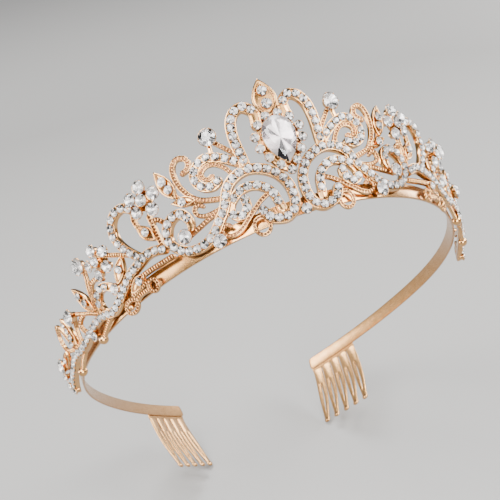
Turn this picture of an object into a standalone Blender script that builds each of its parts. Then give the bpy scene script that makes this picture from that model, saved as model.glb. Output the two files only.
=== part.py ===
"""Bridal tiara: a one-piece strip headband with openwork crystal filigree and two side combs.

The filigree is designed flat, in millimetres: s runs along the headband from the centre front
(positive to +X), h is the height above the band's lower edge, and e is the elevation above the
face of the filigree. Every flat piece is then bent onto the curve of the headband.
"""
import bpy
import bmesh
from math import cos, sin, radians, pi, ceil
from mathutils import Vector

MM = 0.001

# Headband: radius of its bend at stations along the half length, and its section.
BEND_STATIONS = (0, 20, 40, 60, 80, 100, 120, 140, 170)
BEND_RADII = (45.7, 55.9, 72.6, 99.6, 120.5, 110.2, 96.7, 105.3, 230.0)
HALF_LENGTH = 235.0
BAND_WIDTH = 4.8
BAND_THICKNESS = 0.8
BAND_FACE = -0.45
FACET = 5.0

# The tiara is modelled worn high on the head: pitched back about the ear-to-ear axis.
PITCH = 46.7

# Filigree face: offset from the band line, outward lean and flare of the wing ends.
FACE_OFFSET = 1.4
LEAN = 0.18
FLARE = 2.0
FLARE_START = 75.0
FLARE_LENGTH = 45.0

# Elevations of the castings, crystals and cups (bottom, top).
CHANNEL = (-1.5, -0.55)
PAVE = (-0.22, 0.5)
ROUND = (-0.15, 1.4)
CHANNEL_WIDTH = 2.5
WIRE_WIDTH = 1.1
PAVE_PITCH = 2.4
PAVE_RADIUS = 1.08

# Pear crystal and its halo.
PEAR_TOP = 27.0
PEAR_TIP = 13.5
PEAR_HALF_WIDTH = 4.15
PEAR_WIDEST = 21.7
PEAR_TAPER = 1.7
PLATE_TAPER = 1.22
HALO = ((1.6, 27.9), (4.2, 26.1), (5.85, 22.9), (5.65, 19.5), (4.3, 16.4), (2.3, 13.6))
HALO_BOTTOM = (0.0, 11.4)
HALO_RADIUS = 1.1

# Combs: five double teeth, from the front tooth to the rear one.
TOOTH_ROOTS = (209.0, 214.8, 220.7, 226.5, 232.3)
TOOTH_TIPS = (206.0, 212.7, 219.4, 226.2, 232.9)
TOOTH_HALF_WIDTHS = (2.35, 2.55, 2.75, 2.65, 1.95, 1.2)
COMB_FRONT = 206.4
COMB_REAR = 234.8
COMB_TOP = 1.6
COMB_WEB = -1.8
COMB_TIP = -24.4
COMB_FACE = -0.1
COMB_THICKNESS = 0.8
COMB_CURL = 6.2

GOLD = (0.80, 0.52, 0.36)
CLEAR = (0.93, 0.93, 0.95)

# Paths of the centre casting, right half.
EAR = ((4.2, 26.6), (3.75, 29.0), (4.3, 31.2), (6.2, 32.75), (8.35, 31.9), (9.9, 29.5), (10.5, 26.8),
       (10.65, 24.0), (10.6, 21.2), (10.5, 18.6), (10.6, 16.3))
SCROLL = ((10.7, 3.9), (9.6, 1.5), (7.5, 0.35), (5.2, 0.1), (2.95, 1.4), (2.0, 3.7), (1.85, 6.2),
          (2.2, 8.7), (3.15, 11.0), (4.65, 13.0), (6.8, 14.6), (9.0, 15.6), (11.3, 16.0),
          (13.6, 15.6), (15.7, 14.5), (17.4, 12.8), (18.7, 10.4), (20.3, 8.2), (22.3, 6.3),
          (23.9, 4.7), (26.0, 3.2), (28.4, 2.45), (31.0, 2.4), (33.7, 3.2), (35.9, 4.9),
          (37.2, 7.2), (37.3, 9.8), (36.3, 12.3), (34.2, 13.9), (31.7, 13.6), (30.0, 11.6),
          (29.9, 9.2))
CURL = ((10.9, 17.9), (12.7, 19.5), (14.8, 21.3), (16.9, 22.7), (19.4, 23.6), (21.6, 22.9),
        (23.4, 21.0), (23.75, 18.6), (22.4, 16.5), (20.2, 15.7), (18.5, 16.4))
VOLUTE = ((5.6, 2.8), (5.8, 5.0), (6.4, 7.4), (8.0, 9.7), (10.2, 11.2), (12.8, 11.6), (15.6, 10.9),
          (17.8, 9.3), (18.4, 7.0), (16.9, 5.1), (14.6, 5.6), (13.9, 8.0))
LOWER_WIRE = ((7.2, 8.2), (10.2, 6.7), (12.6, 5.1), (14.7, 3.7), (16.6, 2.4), (18.6, 1.5),
              (20.8, 1.3), (22.4, 2.4))
CURL_WIRE = ((14.3, 15.2), (14.9, 17.6), (16.2, 19.8), (17.9, 21.1), (19.8, 21.3), (21.3, 20.2),
             (21.2, 18.5))
TALL_WIRE = ((25.7, 22.8), (24.2, 23.6), (23.6, 25.1), (24.4, 26.6), (26.1, 27.1), (27.7, 26.0),
             (28.5, 23.6), (28.4, 20.6), (27.5, 17.7), (26.1, 15.3), (23.8, 13.4), (21.0, 12.1),
             (18.0, 11.2))
SMALL_WIRE = ((24.8, 12.0), (26.0, 12.9), (27.3, 12.1), (27.2, 10.7), (25.8, 9.7), (23.5, 9.2),
              (19.5, 9.3))
ROD = ((20.6, 8.3), (24.5, 7.6), (28.5, 7.0), (32.4, 6.6))
BALL_STEM = ((15.6, 26.6), (13.4, 23.4), (11.0, 20.6))
BALL_STEM_2 = ((16.7, 27.0), (16.9, 22.8))
LEAF_WIRE = ((30.5, 18.8), (29.4, 16.4), (28.0, 14.6), (25.4, 13.9))

# Paths of the wing casting.
STEM = ((40.2, 17.9), (40.4, 12.6), (40.5, 7.8))
ARCH = ((40.4, 14.6), (39.4, 16.2), (38.3, 15.9))
HEART = ((43.8, 21.4), (45.0, 23.2), (47.4, 24.4), (50.3, 24.0), (52.4, 22.0), (53.3, 19.3),
         (53.0, 16.6), (51.9, 14.1), (50.2, 11.9), (48.4, 9.4))
HEART_WIRE = ((44.2, 21.6), (45.0, 19.4), (44.6, 16.6))
BRANCH = ((40.6, 7.4), (43.2, 8.5), (46.2, 8.8), (49.3, 8.3), (52.2, 7.7), (55.0, 6.9), (57.5, 5.8),
          (59.8, 4.8), (62.0, 3.8), (64.8, 2.8), (68.0, 2.4), (71.0, 3.2), (74.4, 3.9), (78.3, 3.9),
          (82.1, 3.5), (85.8, 2.9), (89.4, 2.4), (93.4, 2.0), (98.1, 2.5), (102.2, 2.2),
          (105.8, 0.9), (109.6, 0.2), (113.4, -1.0), (117.6, -2.8))
SPRIG = ((62.4, 7.6), (65.9, 9.9), (69.2, 10.3), (71.5, 8.9), (72.4, 6.7), (72.2, 4.0))
BOTTOM_WIRE = ((38.9, 4.6), (43.0, 4.7), (48.0, 5.0), (52.0, 5.0), (57.2, 4.9))
TWIG = ((51.6, 12.2), (54.4, 13.8), (57.2, 15.6), (60.0, 17.0))
BIG_STEM = ((71.6, 19.0), (72.4, 16.1), (74.0, 13.2), (75.0, 9.1), (75.6, 4.2))
LOOP_WIRE = ((65.6, 12.4), (69.1, 13.8), (71.6, 13.4), (73.0, 11.6), (74.8, 9.8))
SIDE_WIRE = ((75.6, 5.6), (79.6, 7.7), (83.1, 9.3), (86.0, 10.6), (89.0, 11.4))
SIDE_LOOP = ((84.0, 9.4), (86.6, 8.7), (87.7, 7.2), (86.6, 5.2), (84.6, 3.4))
CUP_WIRE = ((89.3, 11.0), (91.3, 7.4), (92.6, 2.4))
LEAF_STEM = ((95.8, 6.4), (95.4, 2.2))
LEAF_STEM_2 = ((99.8, 6.2), (98.8, 2.4))
END_WIRE = ((112.6, 4.6), (108.0, 3.4), (104.6, 1.6))
END_WIRE_2 = ((115.2, 2.0), (113.2, 0.4), (111.6, -0.6))
LOW_WIRE = ((70.4, 3.4), (74.6, 0.9), (79.4, -0.9))
LOW_WIRE_2 = ((93.6, 1.9), (97.6, -0.5), (101.4, -2.2))

FLOWER = ((38.5, 25.6), (42.6, 24.2), (35.7, 22.1), (39.2, 22.0), (42.1, 19.9), (37.4, 18.5))
BLOSSOM = ((58.9, 17.6), (63.0, 20.2), (63.4, 16.9), (66.9, 17.3), (65.0, 13.4), (60.2, 13.5))


def plan_table():
    """Plan curve of the band's face line: position and heading every half millimetre."""
    rows = [(0.0, 0.0, 0.0)]
    step = 0.5
    for i in range(1, 500):
        s = (i - 0.5) * step
        j = sum(1 for k in BEND_STATIONS[1:-1] if s > k)
        a, b = BEND_STATIONS[j], BEND_STATIONS[j + 1]
        f = min(1.0, (s - a) / (b - a))
        bend = (1 - f) / BEND_RADII[j] + f / BEND_RADII[j + 1]
        x, y, turn = rows[-1]
        middle = turn + bend * step / 2
        rows.append((x + step * cos(middle), y + step * sin(middle), turn + bend * step))
    return rows


PLAN = plan_table()


def on_band(s, h, d):
    """Point at length s, height h and distance d outside the band line, in metres."""
    t = abs(s) * 2
    i = min(int(t), len(PLAN) - 2)
    f = t - i
    x, y, turn = (PLAN[i][k] * (1 - f) + PLAN[i + 1][k] * f for k in range(3))
    side = -1 if s < 0 else 1
    return Vector((side * (x + sin(turn) * d), y - cos(turn) * d, h)) * MM


def on_face(s, h, e):
    """Point of the flat design bent onto the leaning face of the filigree."""
    t = min(max((abs(s) - FLARE_START) / FLARE_LENGTH, 0.0), 1.0)
    flare = FLARE * t * t * (3 - 2 * t)
    return on_band(s, h, FACE_OFFSET + LEAN * h + flare + e)


def mirrored(points):
    return tuple((-s, h) for s, h in points)


def smooth_path(points, step):
    """Evenly spaced points along the Catmull-Rom curve through the design points."""
    pts = [Vector(p) for p in points]
    ends = [pts[0] * 2 - pts[1]] + pts + [pts[-1] * 2 - pts[-2]]
    fine = []
    for a, b, c, d in zip(ends, ends[1:], ends[2:], ends[3:]):
        for k in range(12):
            t = k / 12
            fine.append(0.5 * (2 * b + (c - a) * t + (2 * a - 5 * b + 4 * c - d) * t * t
                               + (3 * b - a - 3 * c + d) * t ** 3))
    fine.append(pts[-1])
    lengths = [0.0]
    for a, b in zip(fine, fine[1:]):
        lengths.append(lengths[-1] + (b - a).length)
    count = max(1, ceil(lengths[-1] / step))
    out = []
    j = 0
    for k in range(count + 1):
        want = lengths[-1] * k / count
        while j < len(fine) - 2 and lengths[j + 1] < want:
            j += 1
        span = lengths[j + 1] - lengths[j] or 1.0
        out.append(fine[j].lerp(fine[j + 1], min(1.0, (want - lengths[j]) / span)))
    return out


def thinned(path, turn=radians(22), reach=3.2):
    """Fewest points of a dense path that keep its bends: close together where it curls."""
    kept = [path[0]]
    turned = 0.0
    for a, b, c in zip(path, path[1:], path[2:]):
        turned += abs((b - a).angle_signed(c - b))
        if turned > turn or (c - kept[-1]).length > reach:
            kept.append(b)
            turned = 0.0
    return kept + [path[-1]]


def new_collection(name):
    group = bpy.data.collections.new(name)
    bpy.context.scene.collection.children.link(group)
    return group


def clear_scene():
    for thing in list(bpy.data.objects):
        bpy.data.objects.remove(thing, do_unlink=True)


def material(name, colour, roughness, metallic):
    mat = bpy.data.materials.new(name)
    mat.use_nodes = True
    shader = mat.node_tree.nodes["Principled BSDF"]
    shader.inputs["Base Color"].default_value = (*colour, 1.0)
    shader.inputs["Roughness"].default_value = roughness
    shader.inputs["Metallic"].default_value = metallic
    return mat


def loose(data, name="blank"):
    """Temporary object in the workshop collection."""
    thing = bpy.data.objects.new(name, data)
    bpy.data.collections["workshop"].objects.link(thing)
    return thing


def as_mesh(thing, name="blank"):
    """Mesh of an object's evaluated shape; the object is removed."""
    bpy.context.view_layer.update()
    graph = bpy.context.evaluated_depsgraph_get()
    mesh = bpy.data.meshes.new_from_object(thing.evaluated_get(graph))
    matrix = thing.matrix_world.copy()
    bpy.data.objects.remove(thing, do_unlink=True)
    bm = bmesh.new()
    bm.from_mesh(mesh)
    bmesh.ops.remove_doubles(bm, verts=bm.verts, dist=0.0005)
    bmesh.ops.recalc_face_normals(bm, faces=bm.faces)
    bm.to_mesh(mesh)
    bm.free()
    mesh.name = name
    mesh.transform(matrix)
    return mesh


def bar(points, width, levels):
    """Flat bar of rectangular section along a path, between two elevations."""
    low, high = levels
    section = bpy.data.curves.new("section", "CURVE")
    section.dimensions = "2D"
    outline = section.splines.new("POLY")
    outline.points.add(3)
    half, rise = width / 2, (high - low) / 2
    corners = ((-half, -rise), (half, -rise), (half, rise), (-half, rise))
    for point, (x, y) in zip(outline.points, corners):
        point.co = (x, y, 0, 1)
    outline.use_cyclic_u = True
    shape = loose(section, "section")
    curve = bpy.data.curves.new("bar", "CURVE")
    curve.dimensions = "3D"
    curve.twist_mode = "Z_UP"
    path = thinned(smooth_path(points, 0.6))
    spline = curve.splines.new("POLY")
    spline.points.add(len(path) - 1)
    for point, (s, h) in zip(spline.points, path):
        point.co = (s, h, (low + high) / 2, 1)
    curve.bevel_mode = "OBJECT"
    curve.bevel_object = shape
    curve.use_fill_caps = True
    mesh = as_mesh(loose(curve, "bar"))
    bpy.data.objects.remove(shape, do_unlink=True)
    return mesh


def plate(outlines, levels):
    """Flat plate from closed outlines; the inner outlines are holes."""
    low, high = levels
    curve = bpy.data.curves.new("plate", "CURVE")
    curve.dimensions = "2D"
    curve.fill_mode = "BOTH"
    curve.extrude = (high - low) / 2
    for outline in outlines:
        spline = curve.splines.new("POLY")
        spline.points.add(len(outline) - 1)
        for point, (x, y) in zip(spline.points, outline):
            point.co = (x, y, 0, 1)
        spline.use_cyclic_u = True
    thing = loose(curve, "plate")
    thing.location.z = (low + high) / 2
    return as_mesh(thing)


def disc(centre, radius, levels, top=1.0):
    """Round cup or crystal blank: a cylinder whose top may be narrower."""
    low, high = levels
    bm = bmesh.new()
    bmesh.ops.create_cone(bm, cap_ends=True, segments=8, radius1=radius,
                          radius2=radius * top, depth=high - low)
    bmesh.ops.translate(bm, verts=bm.verts, vec=(centre[0], centre[1], (low + high) / 2))
    mesh = bpy.data.meshes.new("disc")
    bm.to_mesh(mesh)
    bm.free()
    return mesh


def ring(centre, radii, width, levels):
    """Closed oval ring, as a plate with a hole."""
    def oval(a, b):
        return [(centre[0] + a * cos(k * pi / 6), centre[1] + b * sin(k * pi / 6)) for k in range(12)]
    a, b = radii
    return plate((oval(a + width / 2, b + width / 2), oval(a - width / 2, b - width / 2)), levels)


def leaf_outline(base, tip, half_width, count=6):
    """Marquise outline from base to tip."""
    base, tip = Vector(base), Vector(tip)
    along = tip - base
    across = Vector((-along.y, along.x)).normalized() * half_width
    right = [base + along * (k / count) + across * sin(pi * k / count) for k in range(count + 1)]
    left = [base + along * (k / count) - across * sin(pi * k / count) for k in range(count - 1, 0, -1)]
    return [(p.x, p.y) for p in right + left]


def pear_outline(grow=0.0, count=16, taper=PLATE_TAPER):
    """Pear outline with its tip down; grow moves it outward, taper draws the tip out."""
    top, tip = PEAR_TOP + grow, PEAR_TIP - grow * 1.6
    half = PEAR_HALF_WIDTH + grow
    points = []
    for k in range(count):
        a = 2 * pi * k / count
        x, y = sin(a), -cos(a)
        if y > 0:
            points.append((half * x, PEAR_WIDEST + (top - PEAR_WIDEST) * y))
        else:
            narrow = abs(x) ** taper * (1 if x >= 0 else -1)
            points.append((half * narrow, PEAR_WIDEST + (PEAR_WIDEST - tip) * y))
    return points


def union(meshes, name):
    """One solid from overlapping flat solids."""
    first = loose(meshes[0], "first")
    group = new_collection("joined")
    for mesh in meshes[1:]:
        other = bpy.data.objects.new("other", mesh)
        other.hide_render = True
        other.display_type = "WIRE"
        group.objects.link(other)
    join = first.modifiers.new("join", "BOOLEAN")
    join.operation = "UNION"
    join.operand_type = "COLLECTION"
    join.collection = group
    join.solver = "EXACT"
    join.use_self = True
    mesh = as_mesh(first, name)
    for other in list(group.objects):
        bpy.data.objects.remove(other, do_unlink=True)
    bpy.data.collections.remove(group)
    bm = bmesh.new()
    bm.from_mesh(mesh)
    bmesh.ops.dissolve_limit(bm, angle_limit=radians(0.5), verts=bm.verts, edges=bm.edges)
    bmesh.ops.triangulate(bm, faces=bm.faces)
    bm.to_mesh(mesh)
    bm.free()
    return mesh


def bend_mesh(mesh, place):
    """Bend a flat mesh with a placing function; the far side of s = 0 mirrors by itself."""
    for vertex in mesh.vertices:
        vertex.co = place(*vertex.co)
    bm = bmesh.new()
    bm.from_mesh(mesh)
    bmesh.ops.triangulate(bm, faces=bm.faces)
    bmesh.ops.recalc_face_normals(bm, faces=bm.faces)
    bm.to_mesh(mesh)
    bm.free()
    return mesh


def mirror_mesh(mesh):
    """Copy of a flat mesh for the other side of the centre line."""
    other = mesh.copy()
    for vertex in other.vertices:
        vertex.co.x = -vertex.co.x
    other.flip_normals()
    return other


def finish(name, mesh, mat, place=on_face):
    """Bend a flat mesh and keep it as a named sub-part."""
    bend_mesh(mesh, place)
    mesh.name = name
    mesh.materials.clear()
    mesh.materials.append(mat)
    thing = bpy.data.objects.new(name, mesh)
    bpy.data.collections["bridal_tiara"].objects.link(thing)
    thing.parent = bpy.data.objects["worn_attitude"]
    return thing


def pair(name, mesh, mat, place=on_face):
    """A right-hand sub-part and its left-hand twin."""
    twin = mirror_mesh(mesh)
    finish("right_" + name, mesh, mat, place)
    finish("left_" + name, twin, mat, place)


def crystal_row(points, start=0.5, end=0.5):
    """String of small set crystals along a path: one solid that narrows between the stones."""
    path = smooth_path(points, 0.25)
    length = (len(path) - 1) * 0.25 - start - end
    stones = max(2, round(length / PAVE_PITCH))
    low, high = PAVE
    bm = bmesh.new()
    loops = []
    for k in range(2 * stones + 1):
        t = start + length * k / (2 * stones)
        i = min(int(t / 0.25), len(path) - 2)
        centre = path[i].lerp(path[i + 1], t / 0.25 - i)
        along = (path[min(i + 2, len(path) - 1)] - path[max(i - 1, 0)]).normalized()
        across = Vector((-along.y, along.x))
        wide = k % 2 == 1
        half = PAVE_RADIUS if wide else PAVE_RADIUS * 0.45
        top = high if wide else low + (high - low) * 0.45
        corners = ((-half, low), (half, low), (half * 0.6, top), (-half * 0.6, top))
        loop = []
        for w, z in corners:
            p = centre + across * w
            loop.append(bm.verts.new((p.x, p.y, z)))
        loops.append(loop)
    for a, b in zip(loops, loops[1:]):
        for i in range(4):
            j = (i + 1) % 4
            bm.faces.new((a[i], a[j], b[j], b[i]))
    bm.faces.new(loops[0])
    bm.faces.new(loops[-1])
    bmesh.ops.recalc_face_normals(bm, faces=bm.faces)
    mesh = bpy.data.meshes.new("row")
    bm.to_mesh(mesh)
    bm.free()
    return mesh


def headband(gold):
    """One long flat strip, cut into facets and bent along the plan curve."""
    bm = bmesh.new()
    bmesh.ops.create_cube(bm, size=1.0)
    for vertex in bm.verts:
        vertex.co.x *= 2 * HALF_LENGTH
        vertex.co.y = BAND_WIDTH * (vertex.co.y + 0.5)
        vertex.co.z = BAND_FACE - BAND_THICKNESS * (0.5 - vertex.co.z)
    s = FACET / 2
    while s < HALF_LENGTH - 1:
        for cut in (-s, s):
            geometry = bm.verts[:] + bm.edges[:] + bm.faces[:]
            bmesh.ops.bisect_plane(bm, geom=geometry, plane_co=(cut, 0, 0), plane_no=(1, 0, 0))
        s += FACET
    for vertex in bm.verts:
        if abs(vertex.co.x) > HALF_LENGTH - 0.1:
            vertex.co.x += -0.25 * vertex.co.y if vertex.co.x > 0 else 0.25 * vertex.co.y
    mesh = bpy.data.meshes.new("headband")
    bm.to_mesh(mesh)
    bm.free()
    finish("headband", mesh, gold, on_band)


def comb_place(s, h, z):
    """Comb blank bent inward towards the hair; its web lies on the outside of the band."""
    drop = max(0.0, -1.0 - h) / (-1.0 - COMB_TIP)
    return on_band(s, h, COMB_FACE - COMB_CURL * drop ** 1.35 + z)


def comb_blank():
    """Flat comb with five teeth, each of two prongs around a lens-shaped slot."""
    outline = [(COMB_FRONT, COMB_TOP), (COMB_FRONT, -0.7)]
    holes = []
    rows = len(TOOTH_HALF_WIDTHS) - 1
    for root, tip in zip(TOOTH_ROOTS, TOOTH_TIPS):
        left, right, inner_left, inner_right = [], [], [], []
        for k in range(rows + 1):
            t = k / rows
            h = COMB_WEB + (COMB_TIP - COMB_WEB) * t
            middle = root + (tip - root) * t
            half = TOOTH_HALF_WIDTHS[k]
            left.append((middle - half, h))
            right.append((middle + half, h))
        for k in range(6):
            t = 0.28 + 0.57 * k / 5
            h = COMB_WEB + (COMB_TIP - COMB_WEB) * t
            middle = root + (tip - root) * t
            slot = 0.6 * sin(pi * k / 5) ** 0.7
            inner_left.append((middle - slot, h))
            inner_right.append((middle + slot, h))
        outline += left + right[::-1]
        holes.append(inner_left + inner_right[-2:0:-1])
    outline += [(COMB_REAR, -0.7), (COMB_REAR, COMB_TOP)]
    flat = plate([outline] + holes, (0.0, COMB_THICKNESS))
    feet = [disc((tip, COMB_TIP + 0.05), 1.55, (-0.1, COMB_THICKNESS + 0.1)) for tip in TOOTH_TIPS]
    mesh = union([flat] + feet, "comb")
    bm = bmesh.new()
    bm.from_mesh(mesh)
    cuts = [((0, h, 0), (0, 1, 0)) for h in (-0.9, -6.0, -11.0)]
    cuts += [((s, 0, 0), (1, 0, 0)) for s in (211.9, 217.8, 223.6, 229.4)]
    for place, normal in cuts:
        geometry = bm.verts[:] + bm.edges[:] + bm.faces[:]
        bmesh.ops.bisect_plane(bm, geom=geometry, plane_co=place, plane_no=normal)
    bmesh.ops.triangulate(bm, faces=bm.faces)
    bm.to_mesh(mesh)
    bm.free()
    return mesh


def centre_casting(gold):
    """Openwork casting over the forehead, joined from its scrolls, wires, plates and cups."""
    solids = [plate([leaf_outline((0, 27.4), (0, 38.8), 3.0, 8)], (-1.7, -0.5)),
              plate([pear_outline(1.3)], (-1.62, -0.62)),
              disc((0, 0.3), 2.2, (-1.58, -0.5)),
              disc(HALO_BOTTOM, 1.5, (-1.66, -0.58))]
    wires = ((LOWER_WIRE, -1.33), (CURL_WIRE, -1.31), (SMALL_WIRE, -1.29), (ROD, -1.35),
             (BALL_STEM, -1.27), (BALL_STEM_2, -1.25), (LEAF_WIRE, -1.37))
    for flip in (False, True):
        turn = mirrored if flip else (lambda points: points)
        solids.append(bar(turn(SCROLL), CHANNEL_WIDTH, (-1.5, -0.55)))
        solids.append(bar(turn(EAR), CHANNEL_WIDTH, (-1.47, -0.57)))
        solids.append(bar(turn(CURL), 2.3, (-1.44, -0.59)))
        solids.append(bar(turn(VOLUTE), 2.0, (-1.41, -0.61)))
        solids.append(bar(turn(TALL_WIRE), 1.4, (-1.34, -0.34)))
        for points, low in wires:
            solids.append(bar(turn(points), WIRE_WIDTH, (low, low + 0.98)))
        cups = (((16.5, 28.1), 2.3, -0.1), ((32.4, 6.7), 1.8, -0.12), ((24.4, 1.3), 1.95, -0.53))
        for k, (centre, radius, top) in enumerate(cups):
            solids.append(disc(turn((centre,))[0], radius, (-1.22 - 0.02 * k, top)))
        solids.append(ring(turn(((12.4, 0.1),))[0], (2.1, 2.2), 1.0, (-1.2, -0.3)))
        solids.append(plate([turn(leaf_outline((30.5, 17.3), (32.9, 27.2), 1.9))], (-1.23, -0.51)))
        solids.append(plate([turn(leaf_outline((25.6, 14.5), (32.2, 16.9), 1.4))], (-1.21, -0.49)))
    finish("centre_filigree", union(solids, "centre_filigree"), gold)


def wing_casting(gold):
    """Openwork casting of the side, from the flower to the end of the crystals."""
    solids = [bar(BRANCH, CHANNEL_WIDTH, (-1.5, -0.55)), bar(HEART, 2.3, (-1.47, -0.57)),
              bar(SPRIG, 2.2, (-1.44, -0.59))]
    wires = (STEM, ARCH, HEART_WIRE, BOTTOM_WIRE, TWIG, BIG_STEM, LOOP_WIRE, SIDE_WIRE, SIDE_LOOP,
             CUP_WIRE, LEAF_STEM, LEAF_STEM_2, END_WIRE, END_WIRE_2, LOW_WIRE, LOW_WIRE_2)
    for k, points in enumerate(wires):
        low = -1.4 + 0.012 * k
        solids.append(bar(points, WIRE_WIDTH, (low, low + 0.95)))
    leaves = (((41.0, 10.6), (44.8, 17.6), 1.8), ((76.0, 6.0), (81.3, 17.6), 1.9),
              ((60.6, 7.1), (53.6, 13.6), 1.8), ((95.0, 4.4), (96.4, 14.3), 1.7),
              ((99.2, 3.6), (103.0, 14.1), 2.3), ((50.6, 4.2), (56.8, 4.5), 1.9))
    for k, (base, tip, half) in enumerate(leaves):
        solids.append(plate([leaf_outline(base, tip, half)], (-1.385 + 0.013 * k, -0.5 + 0.011 * k)))
    cups = [(centre, 1.62) for centre in FLOWER + BLOSSOM]
    cups += [((39.3, 22.2), 3.0), ((63.0, 16.6), 3.2), ((62.0, 7.0), 1.5), ((71.6, 20.0), 2.2),
             ((89.0, 11.4), 2.3), ((112.6, 4.6), 2.2), ((81.9, 1.0), 1.6), ((79.6, -1.0), 1.5),
             ((101.6, -2.3), 1.5), ((115.3, 1.7), 1.2), ((117.4, -0.9), 1.2), ((117.0, -3.2), 1.4)]
    for k, (centre, radius) in enumerate(cups):
        solids.append(disc(centre, radius, (-1.265 + 0.007 * k, -0.62 + 0.004 * k)))
    solids.append(ring((49.2, 1.9), (1.6, 2.2), 1.0, (-1.17, -0.33)))
    solids.append(ring((60.6, 0.9), (2.8, 2.2), 1.1, (-1.15, -0.31)))
    solids.append(bar(((57.6, 3.4), (60.6, 0.9), (63.4, 0.6)), 1.0, (-1.13, -0.29)))
    pair("wing_filigree", union(solids, "wing_filigree"), gold)


def crystals(clear):
    """Set stones: the pear, its halo, the larger round stones and the rows of small ones."""
    for k, (s, h) in enumerate(HALO):
        for side, sign in (("right", 1), ("left", -1)):
            stone = disc((sign * s, h), HALO_RADIUS, (0.55, 1.55), 0.6)
            finish("halo_crystal_%s_%d" % (side, k + 1), stone, clear)
    finish("halo_crystal_bottom", disc(HALO_BOTTOM, HALO_RADIUS, (0.55, 1.55), 0.6), clear)
    finish("leaf_crystal_upper", disc((0, 35.2), 1.3, (-0.2, 0.9), 0.6), clear)
    finish("leaf_crystal_lower", disc((0, 31.2), 1.45, (-0.2, 0.9), 0.6), clear)
    finish("base_crystal", disc((0, 0.2), 1.45, (-0.2, 1.0), 0.6), clear)
    pair("crown_ball_crystal", disc((16.5, 28.1), 2.2, (0.25, 2.2), 0.6), clear)
    pair("loop_ball_crystal", disc((32.4, 6.7), 1.7, (0.25, 1.8), 0.6), clear)
    pair("lower_round_crystal", disc((24.2, 1.1), 1.6, (0.6, 2.0), 0.6), clear)
    pair("side_round_crystal", disc((71.6, 20.0), 2.2, (-0.1, 2.0), 0.6), clear)
    pair("wing_round_crystal", disc((89.0, 11.4), 2.3, (-0.1, 2.2), 0.6), clear)
    pair("end_round_crystal", disc((112.6, 4.6), 2.2, (-0.1, 2.1), 0.6), clear)
    for k, centre in enumerate(FLOWER):
        pair("flower_crystal_%d" % (k + 1), disc(centre, 1.5, ROUND, 0.6), clear)
    blossom = [disc(centre, 1.45, (-0.1 + 0.01 * k, 1.5), 0.6) for k, centre in enumerate(BLOSSOM)]
    blossom += [bar((BLOSSOM[2], centre), 0.8, (0.07 + 0.01 * k, 0.6 + 0.01 * k))
                for k, centre in enumerate(BLOSSOM) if k != 2]
    pair("blossom_crystals", union(blossom, "blossom"), clear)
    pair("ear_crystal_row", crystal_row(EAR, 4.2, 2.6), clear)
    scroll = [crystal_row(SCROLL, 0.2, 0.4), crystal_row(VOLUTE, 1.2, 0.4)]
    pair("scroll_crystal_row", union(scroll, "scroll_row"), clear)
    pair("curl_crystal_row", crystal_row(CURL, 1.4, 0.2), clear)
    pair("petal_crystal", disc((56.9, 10.4), 1.2, (-0.2, 0.9), 0.6), clear)
    wing = [crystal_row(HEART, 2.6, 0.2), crystal_row(BRANCH, 0.2, 0.3), crystal_row(SPRIG, 2.2, 0.1)]
    pair("wing_crystal_row", union(wing, "wing_row"), clear)


def pear(gold, clear):
    """Faceted pear crystal over its scalloped setting."""
    solids = [plate([pear_outline(0.9)], (-0.25, 0.18))]
    cups = [(sign * s, h) for s, h in HALO for sign in (1, -1)] + [HALO_BOTTOM]
    for k, centre in enumerate(cups):
        solids.append(disc(centre, 1.35, (-0.22 + 0.004 * k, 0.2 + 0.004 * k)))
    finish("pear_setting", union(solids, "pear_setting"), gold)
    bm = bmesh.new()
    rings = []
    middle = Vector((0.0, PEAR_WIDEST - 1.2))
    for scale, level in ((0.8, 0.55), (1.0, 1.4), (0.93, 2.0), (0.55, 3.1)):
        loop = []
        for x, y in pear_outline(-0.1, taper=PEAR_TAPER):
            p = middle + (Vector((x, y)) - middle) * scale
            loop.append(bm.verts.new((p.x, p.y, level)))
        rings.append(loop)
    for a, b in zip(rings, rings[1:]):
        for i in range(16):
            j = (i + 1) % 16
            bm.faces.new((a[i], a[j], b[j], b[i]))
    bm.faces.new(rings[0])
    bm.faces.new(rings[-1])
    bmesh.ops.recalc_face_normals(bm, faces=bm.faces)
    mesh = bpy.data.meshes.new("pear")
    bm.to_mesh(mesh)
    bm.free()
    finish("pear_crystal", mesh, clear)


def stand_on_origin(attitude):
    """Set the whole piece down: lowest comb feet at z = 0, centred over the origin."""
    attitude.rotation_euler.x = -radians(PITCH)
    turn = attitude.rotation_euler.to_matrix()
    corners = [turn @ vertex.co for thing in attitude.children for vertex in thing.data.vertices]
    low = [min(p[i] for p in corners) for i in range(3)]
    high = [max(p[i] for p in corners) for i in range(3)]
    attitude.location = (-(low[0] + high[0]) / 2, -(low[1] + high[1]) / 2, -low[2])


def main():
    clear_scene()
    new_collection("bridal_tiara")
    new_collection("workshop")
    attitude = bpy.data.objects.new("worn_attitude", None)
    bpy.data.collections["bridal_tiara"].objects.link(attitude)
    gold = material("rose_gold", GOLD, 0.22, 1.0)
    clear = material("clear_crystal", CLEAR, 0.05, 0.0)
    headband(gold)
    pair("comb", comb_blank(), gold, comb_place)
    centre_casting(gold)
    wing_casting(gold)
    pear(gold, clear)
    crystals(clear)
    stand_on_origin(attitude)
    for thing in list(bpy.data.collections["workshop"].objects):
        bpy.data.objects.remove(thing, do_unlink=True)
    bpy.data.collections.remove(bpy.data.collections["workshop"])


main()
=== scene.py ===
"""Looks of the bridal tiara: every casting, strip, comb and crystal is built in mesh code.

The filigree is designed flat, in millimetres: s runs along the headband from the centre front,
h is the height above the band's lower edge and e is the elevation above the filigree's face. The
design is then bent onto the headband's plan curve and pitched back into the worn attitude.
"""
from math import cos, sin, radians, pi

import bpy
import numpy as np
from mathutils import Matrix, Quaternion, Vector


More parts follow.
